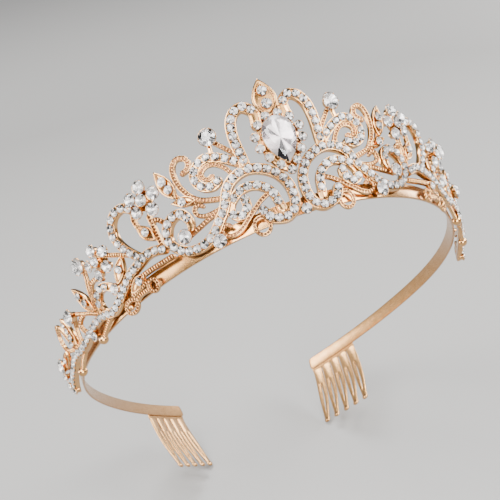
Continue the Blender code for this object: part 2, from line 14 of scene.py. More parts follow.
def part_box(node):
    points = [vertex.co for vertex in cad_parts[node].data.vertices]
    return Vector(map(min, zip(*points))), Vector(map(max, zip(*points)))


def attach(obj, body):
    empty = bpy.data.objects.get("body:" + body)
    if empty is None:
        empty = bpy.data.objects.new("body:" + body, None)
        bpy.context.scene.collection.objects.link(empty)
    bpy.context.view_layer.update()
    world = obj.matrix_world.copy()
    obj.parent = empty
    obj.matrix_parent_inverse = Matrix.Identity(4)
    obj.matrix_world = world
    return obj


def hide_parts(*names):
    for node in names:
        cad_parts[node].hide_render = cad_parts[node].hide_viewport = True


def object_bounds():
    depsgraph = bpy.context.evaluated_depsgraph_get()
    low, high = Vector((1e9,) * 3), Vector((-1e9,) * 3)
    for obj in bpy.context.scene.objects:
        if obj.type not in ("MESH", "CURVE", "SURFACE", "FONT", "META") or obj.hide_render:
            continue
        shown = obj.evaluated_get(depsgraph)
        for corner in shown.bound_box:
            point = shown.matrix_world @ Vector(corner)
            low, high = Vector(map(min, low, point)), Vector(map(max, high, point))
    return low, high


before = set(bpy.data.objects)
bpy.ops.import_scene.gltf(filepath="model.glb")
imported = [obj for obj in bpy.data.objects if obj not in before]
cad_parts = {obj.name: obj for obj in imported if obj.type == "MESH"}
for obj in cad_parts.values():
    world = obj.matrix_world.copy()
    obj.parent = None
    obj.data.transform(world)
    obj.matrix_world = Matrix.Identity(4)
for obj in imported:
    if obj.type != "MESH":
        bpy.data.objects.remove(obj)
cad_low, cad_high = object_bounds()

MM = 0.001
rng = np.random.default_rng(11)

# Headband: radius of its bend at stations along the half length, and its section.
BEND_STATIONS = (0, 20, 40, 60, 80, 100, 120, 140, 170)
BEND_RADII = (45.7, 55.9, 72.6, 99.6, 120.5, 110.2, 96.7, 105.3, 230.0)
PLAN_STEP = 0.5
HALF_LENGTH = 235.0
BAND_WIDTH = 4.8
BAND_THICKNESS = 0.8
BAND_FACE = -0.45
FACET = 5.0
PITCH = 46.7

# Ends of the strip: slanted over the last stretch, and rounded at the corners.
END_SLANT = 0.25
SLANT_START = 200.0
SLANT_LENGTH = 25.0
END_ROUND = 1.2

# Filigree face: offset from the band line, outward lean, and flare of the wing ends.
FACE_OFFSET = 1.4
LEAN = 0.18
FLARE = 2.0
FLARE_START = 75.0
FLARE_LENGTH = 45.0

# Small stones of the rows: spacing, size, and how they sit in their channel.
PAVE_PITCH = 2.4
PAVE_RADIUS = 1.17
STONE_GAP = 1.8
STONE_SEAT = 0.22
STONE_WOBBLE = 0.07
GRAIN_RADIUS = 0.24

# Coiled wires: bars across a groove whose floor is painted dark as shade, between two rails.
PATH_STEP = 0.25
BAR_PITCH = 0.95
BAR_SHARE = 0.27
RING_BAR_SHARE = 0.25
GROOVE = 0.36
RAIL = 0.26
CHANNEL_CLEARANCE = 1.25

# Pear crystal, and how fast the tips of the stone and of its back plate narrow.
PEAR_TOP, PEAR_TIP, PEAR_HALF_WIDTH, PEAR_WIDEST = 27.0, 13.5, 4.15, 21.7
PEAR_TAPER = 1.7
PLATE_TAPER = 1.22
PEAR_MIDDLE = (0.15, 20.9)
HALO_RADIUS = 1.24

# Side combs: teeth along the strip, the bar that joins them, and the curl towards the hair.
TOOTH_ROOTS = (209.0, 214.8, 220.7, 226.5, 232.3)
TOOTH_TIPS = (206.0, 212.7, 219.4, 226.2, 232.9)
FORK_START, FORK_END = 0.28, 0.86
COMB_TIP = -24.4
COMB_CURL = 6.2
COMB_FACE = -0.42
COMB_THICKNESS = 0.8
CURL_START = -1.0
WEB_TOP = 3.0
WEB_LOW = -1.35
WEB_ROUND = 0.6
WEB_LAP = 0.3

# Material slots of a casting's groove floors, painted dark as shade, and of a cut stone.
GROOVE_SHADE = 1
CROWN, PAVILION = 0, 1

# First points of the rings of a stone's cut, eight or sixteen points each, and its culet.
TABLE, STAR, GIRDLE, LOW, LOWER, CULET = 0, 8, 16, 32, 48, 56

SIDES = ((1, "right"), (-1, "left"))


# ------------ placing on the headband

def plan_table():
    """Plan curve of the band's face line: position and heading at every step."""
    rows = [(0.0, 0.0, 0.0)]
    step = PLAN_STEP
    for i in range(1, 500):
        s = (i - 0.5) * step
        j = sum(1 for k in BEND_STATIONS[1:-1] if s > k)
        a, b = BEND_STATIONS[j], BEND_STATIONS[j + 1]
        f = min(1.0, (s - a) / (b - a))
        bend = (1 - f) / BEND_RADII[j] + f / BEND_RADII[j + 1]
        x, y, turn = rows[-1]
        middle = turn + bend * step / 2
        rows.append((x + step * cos(middle), y + step * sin(middle), turn + bend * step))
    return np.array(rows)


PLAN = plan_table()
TURN = np.array(((1, 0, 0), (0, cos(radians(PITCH)), sin(radians(PITCH))),
                 (0, -sin(radians(PITCH)), cos(radians(PITCH)))))


def band_points(s, h, d):
    """Points at length s, height h and distance d outside the band line, pitched, in metres."""
    s, h, d = np.broadcast_arrays(*(np.asarray(v, float) for v in (s, h, d)))
    t = np.abs(s) / PLAN_STEP
    x, y, turn = (np.interp(t, np.arange(len(PLAN)), PLAN[:, k]) for k in range(3))
    side = np.where(s < 0, -1.0, 1.0)
    flat = np.stack([side * (x + np.sin(turn) * d), y - np.cos(turn) * d, h], -1) * MM
    return flat @ TURN.T + STAND


def face_offset(s, h):
    """Distance of the filigree's face outside the band line."""
    t = np.clip((np.abs(s) - FLARE_START) / FLARE_LENGTH, 0.0, 1.0)
    return FACE_OFFSET + LEAN * h + FLARE * t * t * (3 - 2 * t)


def face_points(p):
    """Flat design points (s, h, e) bent onto the leaning face of the filigree."""
    p = np.asarray(p, float)
    s, h, e = p[..., 0], p[..., 1], p[..., 2]
    return band_points(s, h, face_offset(s, h) + e)


def stand_offset():
    """Where the frame's headband stands: its box against the same strip before it is moved."""
    s = np.arange(FACET / 2, HALF_LENGTH, FACET)
    section = [(h, BAND_FACE - t) for h in (0, BAND_WIDTH) for t in (0, BAND_THICKNESS)]
    corners = [(x, h, d) for x in s for h, d in section]
    corners += [(HALF_LENGTH - END_SLANT * h, h, d) for h, d in section]
    p = np.array(corners)
    p = np.vstack([p, p * (-1, 1, 1)])
    made = band_points(p[:, 0], p[:, 1], p[:, 2])
    low, high = (np.array(v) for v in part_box("headband"))
    return (low - made.min(0) + high - made.max(0)) / 2


STAND = np.zeros(3)
STAND = stand_offset()


def local_axes(s, h, e):
    """Origin and the along, up and outward directions of the face at a design point."""
    step = 0.05
    origin = face_points((s, h, e))
    along = face_points((s + step, h, e)) - face_points((s - step, h, e))
    up = face_points((s, h + step, e)) - face_points((s, h - step, e))
    along /= np.linalg.norm(along)
    out = np.cross(along, up)
    out /= np.linalg.norm(out)
    return origin, along, np.cross(out, along), out


# ------------ collecting shells

class Shape:
    """Closed shells of one piece. Design points of the left side are mirrored on the way in."""

    def __init__(self, side=1):
        self.side = side
        self.points, self.loops, self.sizes, self.slots, self.smooth = [], [], [], [], []
        self.count = 0

    def add(self, points, faces, **how):
        """World points with one or more arrays of faces."""
        self.points.append(np.asarray(points, float).reshape(-1, 3))
        self.count += len(self.points[-1])
        self.more_faces(faces, **how)

    def more_faces(self, faces, slot=0, smooth=True, flip=False):
        """Arrays of faces on the points that were added last."""
        start = self.count - len(self.points[-1])
        for block in faces:
            block = np.asarray(block, int)
            if flip:
                block = block[:, ::-1]
            self.loops.append((block + start).ravel())
            self.sizes.append(np.full(len(block), block.shape[1]))
            self.slots.append(np.full(len(block), slot))
            self.smooth.append(np.full(len(block), smooth))

    def join(self, other):
        """Take in the shells of another shape."""
        self.points += other.points
        self.loops += [block + self.count for block in other.loops]
        self.sizes += other.sizes
        self.slots += other.slots
        self.smooth += other.smooth
        self.count += other.count

    def flat(self, points, faces, **how):
        """Design points (s, h, e), bent onto the face."""
        points = np.asarray(points, float).reshape(-1, 3) * (self.side, 1, 1)
        self.add(face_points(points), faces, flip=self.side < 0, **how)

    def rigid(self, points, faces, spot, tilt=(0.0, 0.0), spin=0.0, **how):
        """A small solid in its own axes, stood on the face without bending."""
        origin, along, up, out = local_axes(spot[0] * self.side, spot[1], spot[2])
        turn = np.array(((cos(spin), -sin(spin), 0), (sin(spin), cos(spin), 0), (0, 0, 1)))
        p = np.asarray(points, float) @ turn.T
        out = out + along * tilt[0] * self.side + up * tilt[1]
        out /= np.linalg.norm(out)
        along = along - out * along.dot(out)
        along /= np.linalg.norm(along)
        up = np.cross(out, along)
        world = origin + MM * (p[:, :1] * along + p[:, 1:2] * up + p[:, 2:3] * out)
        self.add(world, faces, **how)

    def piece(self, name, materials, slot, *nodes):
        """The finished object, riding on the one body and standing for its CAD nodes."""
        mesh = bpy.data.meshes.new(name)
        points = np.concatenate(self.points)
        loops, sizes = np.concatenate(self.loops), np.concatenate(self.sizes)
        mesh.vertices.add(len(points))
        mesh.vertices.foreach_set("co", points.ravel())
        mesh.loops.add(len(loops))
        mesh.loops.foreach_set("vertex_index", loops)
        mesh.polygons.add(len(sizes))
        mesh.polygons.foreach_set("loop_start", np.concatenate([[0], np.cumsum(sizes)[:-1]]))
        mesh.update(calc_edges=True)
        mesh.validate()
        for mat in materials:
            mesh.materials.append(mat)
        mesh.polygons.foreach_set("material_index", np.concatenate(self.slots))
        mesh.set_sharp_from_angle(angle=radians(50))
        mesh.polygons.foreach_set("use_smooth", np.concatenate(self.smooth))
        mesh.update()
        thing = bpy.data.objects.new(name, mesh)
        bpy.context.scene.collection.objects.link(thing)
        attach(thing, "root")
        if nodes:
            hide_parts(*nodes)


# ------------ flat paths and sweeps

def smooth_path(points):
    """Evenly spaced points along the Catmull-Rom curve through the design points."""
    pts = [np.array(p, float) for p in points]
    ends = [pts[0] * 2 - pts[1]] + pts + [pts[-1] * 2 - pts[-2]]
    t = np.linspace(0, 1, 16, endpoint=False)[:, None]
    fine = [0.5 * (2 * b + (c - a) * t + (2 * a - 5 * b + 4 * c - d) * t * t
                   + (3 * b - a - 3 * c + d) * t ** 3)
            for a, b, c, d in zip(ends, ends[1:], ends[2:], ends[3:])]
    fine = np.vstack(fine + [pts[-1][None]])
    for _ in range(2):
        fine[1:-1] = (fine[:-2] + 2 * fine[1:-1] + fine[2:]) / 4
    run = np.concatenate([[0], np.cumsum(np.linalg.norm(np.diff(fine, axis=0), axis=1))])
    want = np.linspace(0, run[-1], max(2, int(np.ceil(run[-1] / PATH_STEP)) + 1))
    path = np.stack([np.interp(want, run, fine[:, k]) for k in range(2)], -1)
    for _ in range(3):
        path[1:-1] = (path[:-2] + 2 * path[1:-1] + path[2:]) / 4
    return path


def headings(path):
    """Unit direction and left-hand normal along a flat path."""
    way = np.gradient(path, axis=0)
    way /= np.linalg.norm(way, axis=1)[:, None] + 1e-12
    return way, np.stack([-way[:, 1], way[:, 0]], -1)


def quad_grid(rings, sides):
    """Quads between neighbouring closed rings of points."""
    i, j = np.meshgrid(np.arange(rings - 1), np.arange(sides), indexing="ij")
    k = (j + 1) % sides
    quads = np.stack([i * sides + j, i * sides + k, (i + 1) * sides + k, (i + 1) * sides + j], -1)
    return quads.reshape(-1, 4)


def tube_faces(rings, sides):
    """Quads of a tube with its two caps."""
    caps = np.stack([np.arange(sides)[::-1], np.arange(sides) + (rings - 1) * sides])
    return [quad_grid(rings, sides), caps]


def sweep(shape, path, section, taper=None, **how):
    """Solid of a section (across, elevation) carried along a flat path, with rounded ends."""
    section = np.asarray(section, float)
    way, across = headings(path)
    width = np.ones(len(path)) if taper is None else taper
    half = np.abs(section[:, 0]).max()
    a = np.linspace(0, pi / 2, 6)[1:] * 0.97
    first = path[0] - way[0] * (half * width[0] * np.sin(a))[::-1, None]
    last = path[-1] + way[-1] * (half * width[-1] * np.sin(a))[:, None]
    centre = np.vstack([first, path, last])
    across = np.vstack([across[:1]] * len(a) + [across] + [across[-1:]] * len(a))
    wide = np.concatenate([(width[0] * np.cos(a))[::-1], width, width[-1] * np.cos(a)])
    flat = centre[:, None] + across[:, None] * (section[None, :, :1] * wide[:, None, None])
    e = np.broadcast_to(section[None, :, 1], flat.shape[:2])
    points = np.concatenate([flat, e[..., None]], -1)
    shape.flat(points, tube_faces(len(centre), len(section)), **how)


def channel_section(width, low, top, depth=0.42):
    """Open channel with polished round-edged walls either side of the stones."""
    w, wall = width / 2, 0.32
    right = [(w - 0.14, low), (w - 0.03, low + 0.05), (w, low + 0.16), (w, top - 0.14),
             (w - 0.04, top - 0.03), (w - 0.13, top), (w - wall + 0.05, top - 0.03),
             (w - wall, top - 0.12), (w - wall - 0.04, top - depth)]
    return right + [(-x, z) for x, z in right[::-1]]


def flat_section(width, low, top):
    """Plain rectangular inlay."""
    w = width / 2
    return [(w, low), (w, top), (-w, top), (-w, low)]


def wire_section(width, low, top):
    """Strip with a rounded back and softly domed face."""
    w = width / 2
    ease = min(0.3, (top - low) / 3)
    right = [(w * 0.55, low), (w * 0.9, low + ease * 0.3), (w, low + ease * 0.8), (w, top - ease),
             (w * 0.86, top - ease * 0.33), (w * 0.5, top)]
    return right + [(-x, z) for x, z in right[::-1]]


def coil_parts(width, low, top):
    """Body, a groove floor painted dark as shade, and two rails of a coiled wire: section, shift
    across, and slot.
    """
    floor, shift = top - GROOVE, width / 2 - RAIL / 2
    rail = wire_section(RAIL, floor - 0.2, top - 0.08)
    return ((wire_section(width, low, floor), 0.0, 0),
            (flat_section(width - 0.3, floor - 0.1, floor + 0.03), 0.0, GROOVE_SHADE),
            (rail, -shift, 0), (rail, shift, 0))


# ------------ small solids

def circle(radius, z, count, phase=0.0):
    """Evenly spaced points of a circle at height z."""
    turns = [2 * pi * (k + phase) / count for k in range(count)]
    return [(radius * cos(a), radius * sin(a), z) for a in turns]


def fan(first, count, apex):
    """Triangles from a ring of points up to one apex."""
    return [(first + n, first + (n + 1) % count, apex) for n in range(count)]


def dome():
    """Low bead for grained edges: a cap of a ball closed by its base."""
    sides, levels = 8, [radians(a) for a in (-25, 22, 58)]
    points = [p for a in levels for p in circle(cos(a), sin(a), sides)] + [(0, 0, 1)]
    last = (len(levels) - 1) * sides
    faces = [quad_grid(len(levels), sides), np.array(fan(last, sides, last + sides)),
             np.arange(sides)[::-1][None]]
    return np.array(points), faces


def ball():
    """Whole ball of quads with triangular poles."""
    rings, sides = 8, 14
    levels = [-pi / 2 + pi * n / rings for n in range(1, rings)]
    points = [p for a in levels for p in circle(cos(a), sin(a), sides)]
    last = 1 + (rings - 2) * sides
    fans = [(0, 1 + (n + 1) % sides, 1 + n) for n in range(sides)] + fan(last, sides, last + sides)
    return np.array([(0, 0, -1), *points, (0, 0, 1)]), [1 + quad_grid(rings - 1, sides), fans]


DOME = dome()
BALL = ball()


def lathe(profile, sides):
    """Turned solid from a (radius, height) profile, closed at both ends."""
    points = [p for r, z in profile for p in circle(r, z, sides)]
    return np.array(points), tube_faces(len(profile), sides)


def domes(shape, points):
    """Many low beads: points holds one bead's points in each row."""
    start = (np.arange(len(points)) * points.shape[1])[:, None, None]
    shape.flat(points.reshape(-1, 3), [(f[None] + start).reshape(-1, f.shape[1]) for f in DOME[1]])


def bars(shape, spots, ways, share, width):
    """Bars of a coiled wire: beads stretched across it; share of the pitch is their half width."""
    if not len(spots):
        return
    base = DOME[0]
    spots, ways = np.asarray(spots, float), np.asarray(ways, float)
    cross = np.stack([-ways[:, 1], ways[:, 0]], -1)
    flat = (spots[:, None, :2] + ways[:, None] * (base[None, :, :1] * (BAR_PITCH * share))
            + cross[:, None] * (base[None, :, 1:2] * (width / 2 + 0.04)))
    e = spots[:, None, 2:] + base[None, :, 2:] * (GROOVE + 0.06)
    domes(shape, np.concatenate([flat, e], -1))


def beads(shape, spots, radius, height=1.0):
    """Grains of one size at many design points (s, h, e)."""
    if len(spots):
        size = (radius, radius, radius * height)
        domes(shape, np.asarray(spots, float)[:, None] + DOME[0][None] * size)


def crown_faces():
    """Facets from the table to the girdle, and the girdle's band."""
    three, four = [], []
    for k in range(8):
        n = (k + 1) % 8
        three.append((TABLE + k, STAR + k, TABLE + n))
        three += [(STAR + k, GIRDLE + m, GIRDLE + (m + 1) % 16) for m in (2 * k, 2 * k + 1)]
        four.append((TABLE + n, STAR + k, GIRDLE + 2 * n, STAR + n))
    four += [(GIRDLE + m, LOW + m, LOW + (m + 1) % 16, GIRDLE + (m + 1) % 16) for m in range(16)]
    return [three, four, np.arange(8)[None]]


def break_faces(k):
    """The two facets that join the girdle to a pavilion facet."""
    return [(LOWER + k, LOW + (m + 1) % 16, LOW + m) for m in (2 * k, 2 * k + 1)]


def brilliant():
    """Round brilliant cut of girdle radius 1: its points, crown and pavilion."""
    points = (circle(0.56, 0.44, 8) + circle(0.80, 0.27, 8, 0.5) + circle(1.0, 0.05, 16)
              + circle(1.0, -0.03, 16) + circle(0.50, -0.20, 8, 0.5) + [(0, 0, -0.36)])
    breaks = [face for k in range(8) for face in break_faces(k)]
    kites = [(CULET, LOWER + (k + 1) % 8, LOW + 2 * ((k + 1) % 8), LOWER + k) for k in range(8)]
    return np.array(points), crown_faces(), [breaks, kites]


STONE = brilliant()


def stone(shape, s, h, e, radius, tilt=(0.0, 0.0), lift=1.0):
    """One cut stone, girdle at elevation e; its crown and pavilion take their own materials."""
    points, crown, back = STONE
    spin = rng.uniform(0, pi / 4)
    shape.rigid(points * (radius, radius, radius * lift), crown, (s, h, e), tilt, spin,
                slot=CROWN, smooth=False)
    shape.more_faces(back, slot=PAVILION, smooth=False)


class Design:
    """Rows, wires, leaves and cups of one side's casting, with the stones that sit in them."""

    def __init__(self, side):
        self.metal = Shape(side)
        self.side = side
        self.stones = {}
        self.taken = []
        self.walls = np.zeros((0, 2))

    def gems(self, name):
        """The stones that are collected under a name."""
        return self.stones.setdefault(name, Shape(self.side))

    def free(self, s, h):
        """Whether no stone is already too close."""
        return all((s - a) ** 2 + (h - b) ** 2 > STONE_GAP ** 2 for a, b in self.taken)

    def row(self, name, stones, lead=(), tail=(), width=2.8, top=0.0, end_width=1.0):
        """Channel of small stones: bare metal may lead in or tail off."""
        path = smooth_path(tuple(lead) + tuple(stones) + tuple(tail))
        first, last = (int(np.argmin(((path - p) ** 2).sum(1))) for p in (stones[0], stones[-1]))
        low = -1.5
        taper = np.ones(len(path))
        taper[last:] = np.linspace(1, end_width, len(path) - last)
        sweep(self.metal, path, channel_section(width, low, top), taper=taper)
        bare = channel_section(width * 0.86, low + 0.05, top - 0.02, depth=0.1)
        for used, part in ((lead, slice(0, first + 1)), (tail, slice(last, None))):
            if used and len(path[part]) > 4:
                sweep(self.metal, path[part], bare, taper=taper[part])
        spots = np.linspace(first, last, round((last - first) * PATH_STEP / PAVE_PITCH) + 1)
        for s, h in zip(*(np.interp(spots, np.arange(len(path)), path[:, k]) for k in range(2))):
            if self.free(s, h):
                self.taken.append((s, h))
                stone(self.gems(name), s, h, top + STONE_SEAT, PAVE_RADIUS,
                      tilt=rng.normal(0, STONE_WOBBLE, 2))
        across = headings(path)[1]
        half = (spots[1] - spots[0]) / 2
        grains = []
        for x in np.concatenate([spots - half, spots[-1:] + half]):
            i = int(np.clip(round(x), 0, len(path) - 1))
            for side in (-1, 1):
                s, h = path[i] + across[i] * side * (width / 2 - 0.5)
                grains.append((s, h, top + 0.12))
        beads(self.metal, grains, GRAIN_RADIUS, 1.5)
        self.walls = np.vstack([self.walls, path])

    def wire(self, points, width, low, top, coiled=True):
        """Wire: plain, or coiled with two fine rails, a groove floor painted dark as shade, and
        bars across it.
        """
        path = smooth_path(points)
        if not coiled:
            sweep(self.metal, path, wire_section(width, low, top))
            return
        way, across = headings(path)
        for section, shift, slot in coil_parts(width, low, top):
            sweep(self.metal, path + across * shift, section, slot=slot)
        spots, ways = [], []
        for x in np.arange(0.4, len(path) - 1.1, BAR_PITCH / PATH_STEP):
            i = int(x)
            p = path[i] + (path[i + 1] - path[i]) * (x - i)
            if len(self.walls) and ((self.walls - p) ** 2).sum(1).min() < CHANNEL_CLEARANCE ** 2:
                continue
            spots.append((p[0], p[1], top - GROOVE))
            ways.append(way[i])
        bars(self.metal, spots, ways, BAR_SHARE, width)

    def leaf(self, base, tip, half, stones, low=-1.4, rim=0.15, name="leaf_stones", wall=0.42,
             floor=0.45, lift=0.0):
        """Marquise leaf: raised rim round a dished floor, with its stones."""
        base, tip = np.array(base, float), np.array(tip, float)
        way = (tip - base) / np.linalg.norm(tip - base)
        across = np.array((-way[1], way[0]))
        n = 22

        def outline(inset, z):
            a, b = base + way * inset * 1.6, tip - way * inset * 2.0
            t = np.linspace(0, 1, n + 1)
            bow = np.sin(pi * t) ** 0.85 * (1 + 0.12 * np.cos(pi * t))
            wide = across * ((half - inset) * bow)[:, None]
            line = a + (b - a) * t[:, None]
            p = np.vstack([line - wide, (line + wide)[-2:0:-1]])
            return np.column_stack([p, np.full(len(p), z + lift)])
        rings = [outline(0.22, low), outline(0.05, low + 0.06), outline(0, low + 0.2),
                 outline(0, rim - 0.16), outline(0.05, rim - 0.04), outline(0.14, rim),
                 outline(wall - 0.08, rim - 0.02), outline(wall, rim - 0.12),
                 outline(wall + 0.06, rim - floor),
                 outline(min(half - 0.05, wall + 0.55), rim - floor + 0.07)]
        self.metal.flat(np.vstack(rings), tube_faces(len(rings), 2 * n))
        edge = outline(wall + 0.12, rim - floor + 0.1)
        steps = np.linalg.norm(np.diff(edge[:, :2], axis=0), axis=1)
        run = np.concatenate([[0], np.cumsum(steps)])
        want = np.arange(0.3, run[-1], 0.5)
        spots = np.stack([np.interp(want, run, edge[:, k]) for k in range(3)], -1)
        for s, h, r in stones:
            spots = [p for p in spots if (p[0] - s) ** 2 + (p[1] - h) ** 2 > (r + 0.1) ** 2]
        beads(self.metal, spots, 0.19)
        for s, h, r in stones:
            self.round(name, s, h, r, low=rim - floor - 0.1 + lift, girdle=rim + 0.28 + lift,
                       claws=4, lift=1.0)

    def round(self, name, s, h, radius, low=-1.3, girdle=0.6, claws=5, tilt=(0.0, 0.0),
              lift=1.1):
        """Round stone in its cup and claws."""
        self.taken.append((s, h))
        r, back = radius, low - girdle
        cup = [(r * 0.5, back), (r * 0.62, back + 0.12), (r * 0.66, -r * 0.45 - 0.1),
               (r * 0.9, -0.32), (r + 0.05, -0.16), (r + 0.13, -0.05), (r + 0.1, 0.03),
               (r - 0.01, 0.0), (r * 0.97, -0.1), (r * 0.5, -0.3 * r), (0.05, -0.42 * r)]
        self.metal.rigid(*lathe(cup, 24), (s, h, girdle), tilt)
        stone(self.gems(name), s, h, girdle, radius, tilt=tilt, lift=lift)
        phase = rng.uniform(0, 1)
        base, faces = DOME
        size = 0.12 + 0.045 * radius
        for k in range(claws):
            a = 2 * pi * (k + phase) / claws
            p = base * (size, size, size * 1.7) + (cos(a) * radius, sin(a) * radius, -0.05)
            self.metal.rigid(p, faces, (s, h, girdle), tilt)

    def hoop(self, centre, radii, section, slot):
        """Closed loop of a section round an ellipse."""
        n, section = 40, np.array(section)
        t = np.linspace(0, 2 * pi, n, endpoint=False)[:, None]
        s = centre[0] + (radii[0] + section[:, 0]) * np.cos(t)
        h = centre[1] + (radii[1] + section[:, 0]) * np.sin(t)
        e = np.broadcast_to(section[:, 1], s.shape)
        quads = quad_grid(n + 1, len(section))[:, (0, 3, 2, 1)] % (n * len(section))
        self.metal.flat(np.stack([s, h, e], -1), [quads], slot=slot)

    def ring(self, centre, radii, width, low=-1.2, top=-0.3):
        """Closed coiled ring."""
        for section, shift, slot in coil_parts(width, low, top):
            self.hoop(centre, (radii[0] + shift, radii[1] + shift), section, slot)
        count = int(pi * (radii[0] + radii[1]) / BAR_PITCH)
        t = 2 * pi * np.arange(count) / count
        spots = np.stack([centre[0] + radii[0] * np.cos(t), centre[1] + radii[1] * np.sin(t),
                          np.full(count, top - GROOVE)], -1)
        ways = np.stack([-radii[0] * np.sin(t), radii[1] * np.cos(t)], -1)
        ways /= np.linalg.norm(ways, axis=1)[:, None]
        bars(self.metal, spots, ways, RING_BAR_SHARE, width)

    def button(self, s, h, e, radius, height=0.7):
        """Plain polished gold dot."""
        points, faces = BALL
        self.taken.append((s, h))
        self.metal.rigid(points * (radius, radius, radius * height), faces, (s, h, e))

    def pad(self, s, h, radius, low, top):
        """Round backing plate."""
        profile = [(radius - 0.15, low), (radius, low + 0.12), (radius, top - 0.12),
                   (radius - 0.15, top)]
        self.metal.rigid(*lathe(profile, 28), (s, h, 0.0))


# ------------ materials

def node_material(name):
    """New material, its node tree and its shader."""
    mat = bpy.data.materials.new(name)
    mat.use_nodes = True
    tree = mat.node_tree
    return mat, tree, tree.nodes["Principled BSDF"]


def feed(tree, node, **inputs):
    """Give a node's inputs values or other nodes' outputs; underscores stand for spaces."""
    for key, value in inputs.items():
        socket = node.inputs[key.replace("_", " ")]
        if isinstance(value, bpy.types.NodeSocket):
            tree.links.new(value, socket)
        else:
            socket.default_value = value
    return node


def add_node(tree, kind, **inputs):
    """New node with its inputs."""
    return feed(tree, tree.nodes.new(kind), **inputs)


def object_space(tree):
    """Coordinates of the object itself."""
    return add_node(tree, "ShaderNodeTexCoord").outputs["Object"]


def noise(tree, vector, **inputs):
    """Value of a noise texture at a vector."""
    return add_node(tree, "ShaderNodeTexNoise", Vector=vector, **inputs).outputs["Fac"]


def ramp(tree, source, stops):
    """Colour from a value by (place, colour) stops."""
    node = add_node(tree, "ShaderNodeValToRGB", Fac=source)
    elements = node.color_ramp.elements
    while len(elements) < len(stops):
        elements.new(0.5)
    for element, (place, colour) in zip(elements, stops):
        element.position = place
        element.color = (*colour, 1.0)
    return node.outputs["Color"]


def mapped(tree, source, low, high, from_low, from_high):
    """A value's range from_low to from_high moved to low to high."""
    ends = dict(From_Min=from_low, From_Max=from_high, To_Min=low, To_Max=high)
    return add_node(tree, "ShaderNodeMapRange", Value=source, **ends).outputs["Result"]


def mixed(tree, factor, *colours):
    """Blend of two colours, each a plain colour or a node's output."""
    node = add_node(tree, "ShaderNodeMix")
    node.data_type = "RGBA"
    tree.links.new(factor, node.inputs["Factor"])
    for socket, colour in zip((6, 7), colours):
        if isinstance(colour, tuple):
            node.inputs[socket].default_value = (*colour, 1.0)
        else:
            tree.links.new(colour, node.inputs[socket])
    return node.outputs[2]


def rose_gold(name, bright, warm, hollow_shade, rough, grain=0.02, brushed=False):
    """Polished rose gold: painted shade makes it warmer and darker in the hollows; faint pits and
    polishing lines.
    """
    mat, tree, shader = node_material(name)
    where = object_space(tree)
    cloud = noise(tree, where, Scale=420.0, Detail=3.0, Roughness=0.6)
    colour = ramp(tree, cloud, ((0.35, warm), (0.65, bright)))
    shape = add_node(tree, "ShaderNodeNewGeometry")
    # Painted shade: where pointiness finds a hollow, the third colour replaces the gold's own.
    raised = ramp(tree, shape.outputs["Pointiness"], ((0.36, (0, 0, 0)), (0.48, (1, 1, 1))))
    if brushed:
        stretch = add_node(tree, "ShaderNodeMapping", Vector=where, Scale=(1.0, 1.0, 6.0))
        where = stretch.outputs["Vector"]
    fine = noise(tree, where, Scale=2600.0, Detail=4.0, Roughness=0.65)
    bump = add_node(tree, "ShaderNodeBump", Strength=grain * 5, Distance=0.00004, Height=fine)
    feed(tree, shader, Base_Color=mixed(tree, raised, hollow_shade, colour), Metallic=1.0,
         Roughness=mapped(tree, fine, rough * 0.85, rough * 1.25, 0.3, 0.7),
         Normal=bump.outputs["Normal"])
    return mat


def crown_glass(name, tint):
    """Clear glass of a stone's crown."""
    mat, tree, shader = node_material(name + "_crown")
    shape = add_node(tree, "ShaderNodeNewGeometry")
    colour = ramp(tree, shape.outputs["Random Per Island"], ((0.0, tint[0]), (1.0, tint[1])))
    haze = noise(tree, object_space(tree), Scale=1800.0, Detail=2.0)
    feed(tree, shader, Base_Color=colour, Transmission_Weight=1.0, IOR=1.62,
         Roughness=mapped(tree, haze, 0.0, 0.03, 0.35, 0.7))
    return mat


def foil(name, tint, haze_low, haze_high, painted_dark_share):
    """Silver foil behind a stone; a share of its facets, set by the last argument, is painted dark
    as a stand-in for dark reflections.
    """
    mat, tree, shader = node_material(name + "_foil")
    shape = add_node(tree, "ShaderNodeNewGeometry")
    facet = noise(tree, shape.outputs["True Normal"], Scale=5.5, Detail=0.0)
    # Painted reflection: the dark facets stand for dark surroundings reflected in the stone.
    dark = tuple(0.07 * c for c in tint[0])
    colour = ramp(tree, facet, ((painted_dark_share, dark), (painted_dark_share + 0.04, tint[0]), (1.0, tint[1])))
    haze = noise(tree, object_space(tree), Scale=3000.0, Detail=2.0)
    feed(tree, shader, Base_Color=colour, Metallic=1.0,
         Roughness=mapped(tree, haze, haze_low, haze_high, 0.3, 0.7))
    return mat


# ------------ the design, right half

SCROLL = (
    (10.7, 3.8), (9.5, 1.5), (7.4, 0.4), (5.2, 0.1), (2.9, 1.4), (1.9, 3.7), (1.75, 6.2),
    (2.1, 8.7), (3.1, 11.0), (4.6, 13.0), (6.75, 14.6), (8.95, 15.6), (11.25, 16.0), (13.5, 15.6),
    (15.7, 14.55), (17.4, 12.85), (18.6, 10.5), (20.2, 8.2), (22.2, 6.35), (23.8, 4.7),
    (26.0, 3.25), (28.4, 2.45), (31.0, 2.4), (33.7, 3.15), (35.9, 4.85), (37.2, 6.8), (37.7, 8.4),
    (37.2, 10.5), (35.7, 12.5), (33.3, 13.6), (31.0, 13.1), (29.9, 11.2))
SCROLL_TAIL = ((29.7, 9.6), (30.2, 8.1))
EAR_LEAD = ((4.15, 26.6), (3.75, 29.0))
EAR = (
    (4.1, 31.0), (6.15, 32.75), (8.35, 31.9), (9.9, 29.5), (10.5, 26.8), (10.68, 24.0),
    (10.6, 21.2), (10.48, 18.6))
EAR_TAIL = ((10.6, 16.6),)
CURL_LEAD = ((11.0, 18.0),)
CURL = (
    (12.7, 19.5), (14.8, 21.3), (16.9, 22.7), (19.4, 23.6), (21.6, 22.9), (23.4, 21.0),
    (23.75, 18.6), (22.4, 16.5), (20.2, 15.7), (18.5, 16.3))
VOLUTE_LEAD = ((5.75, 2.7),)
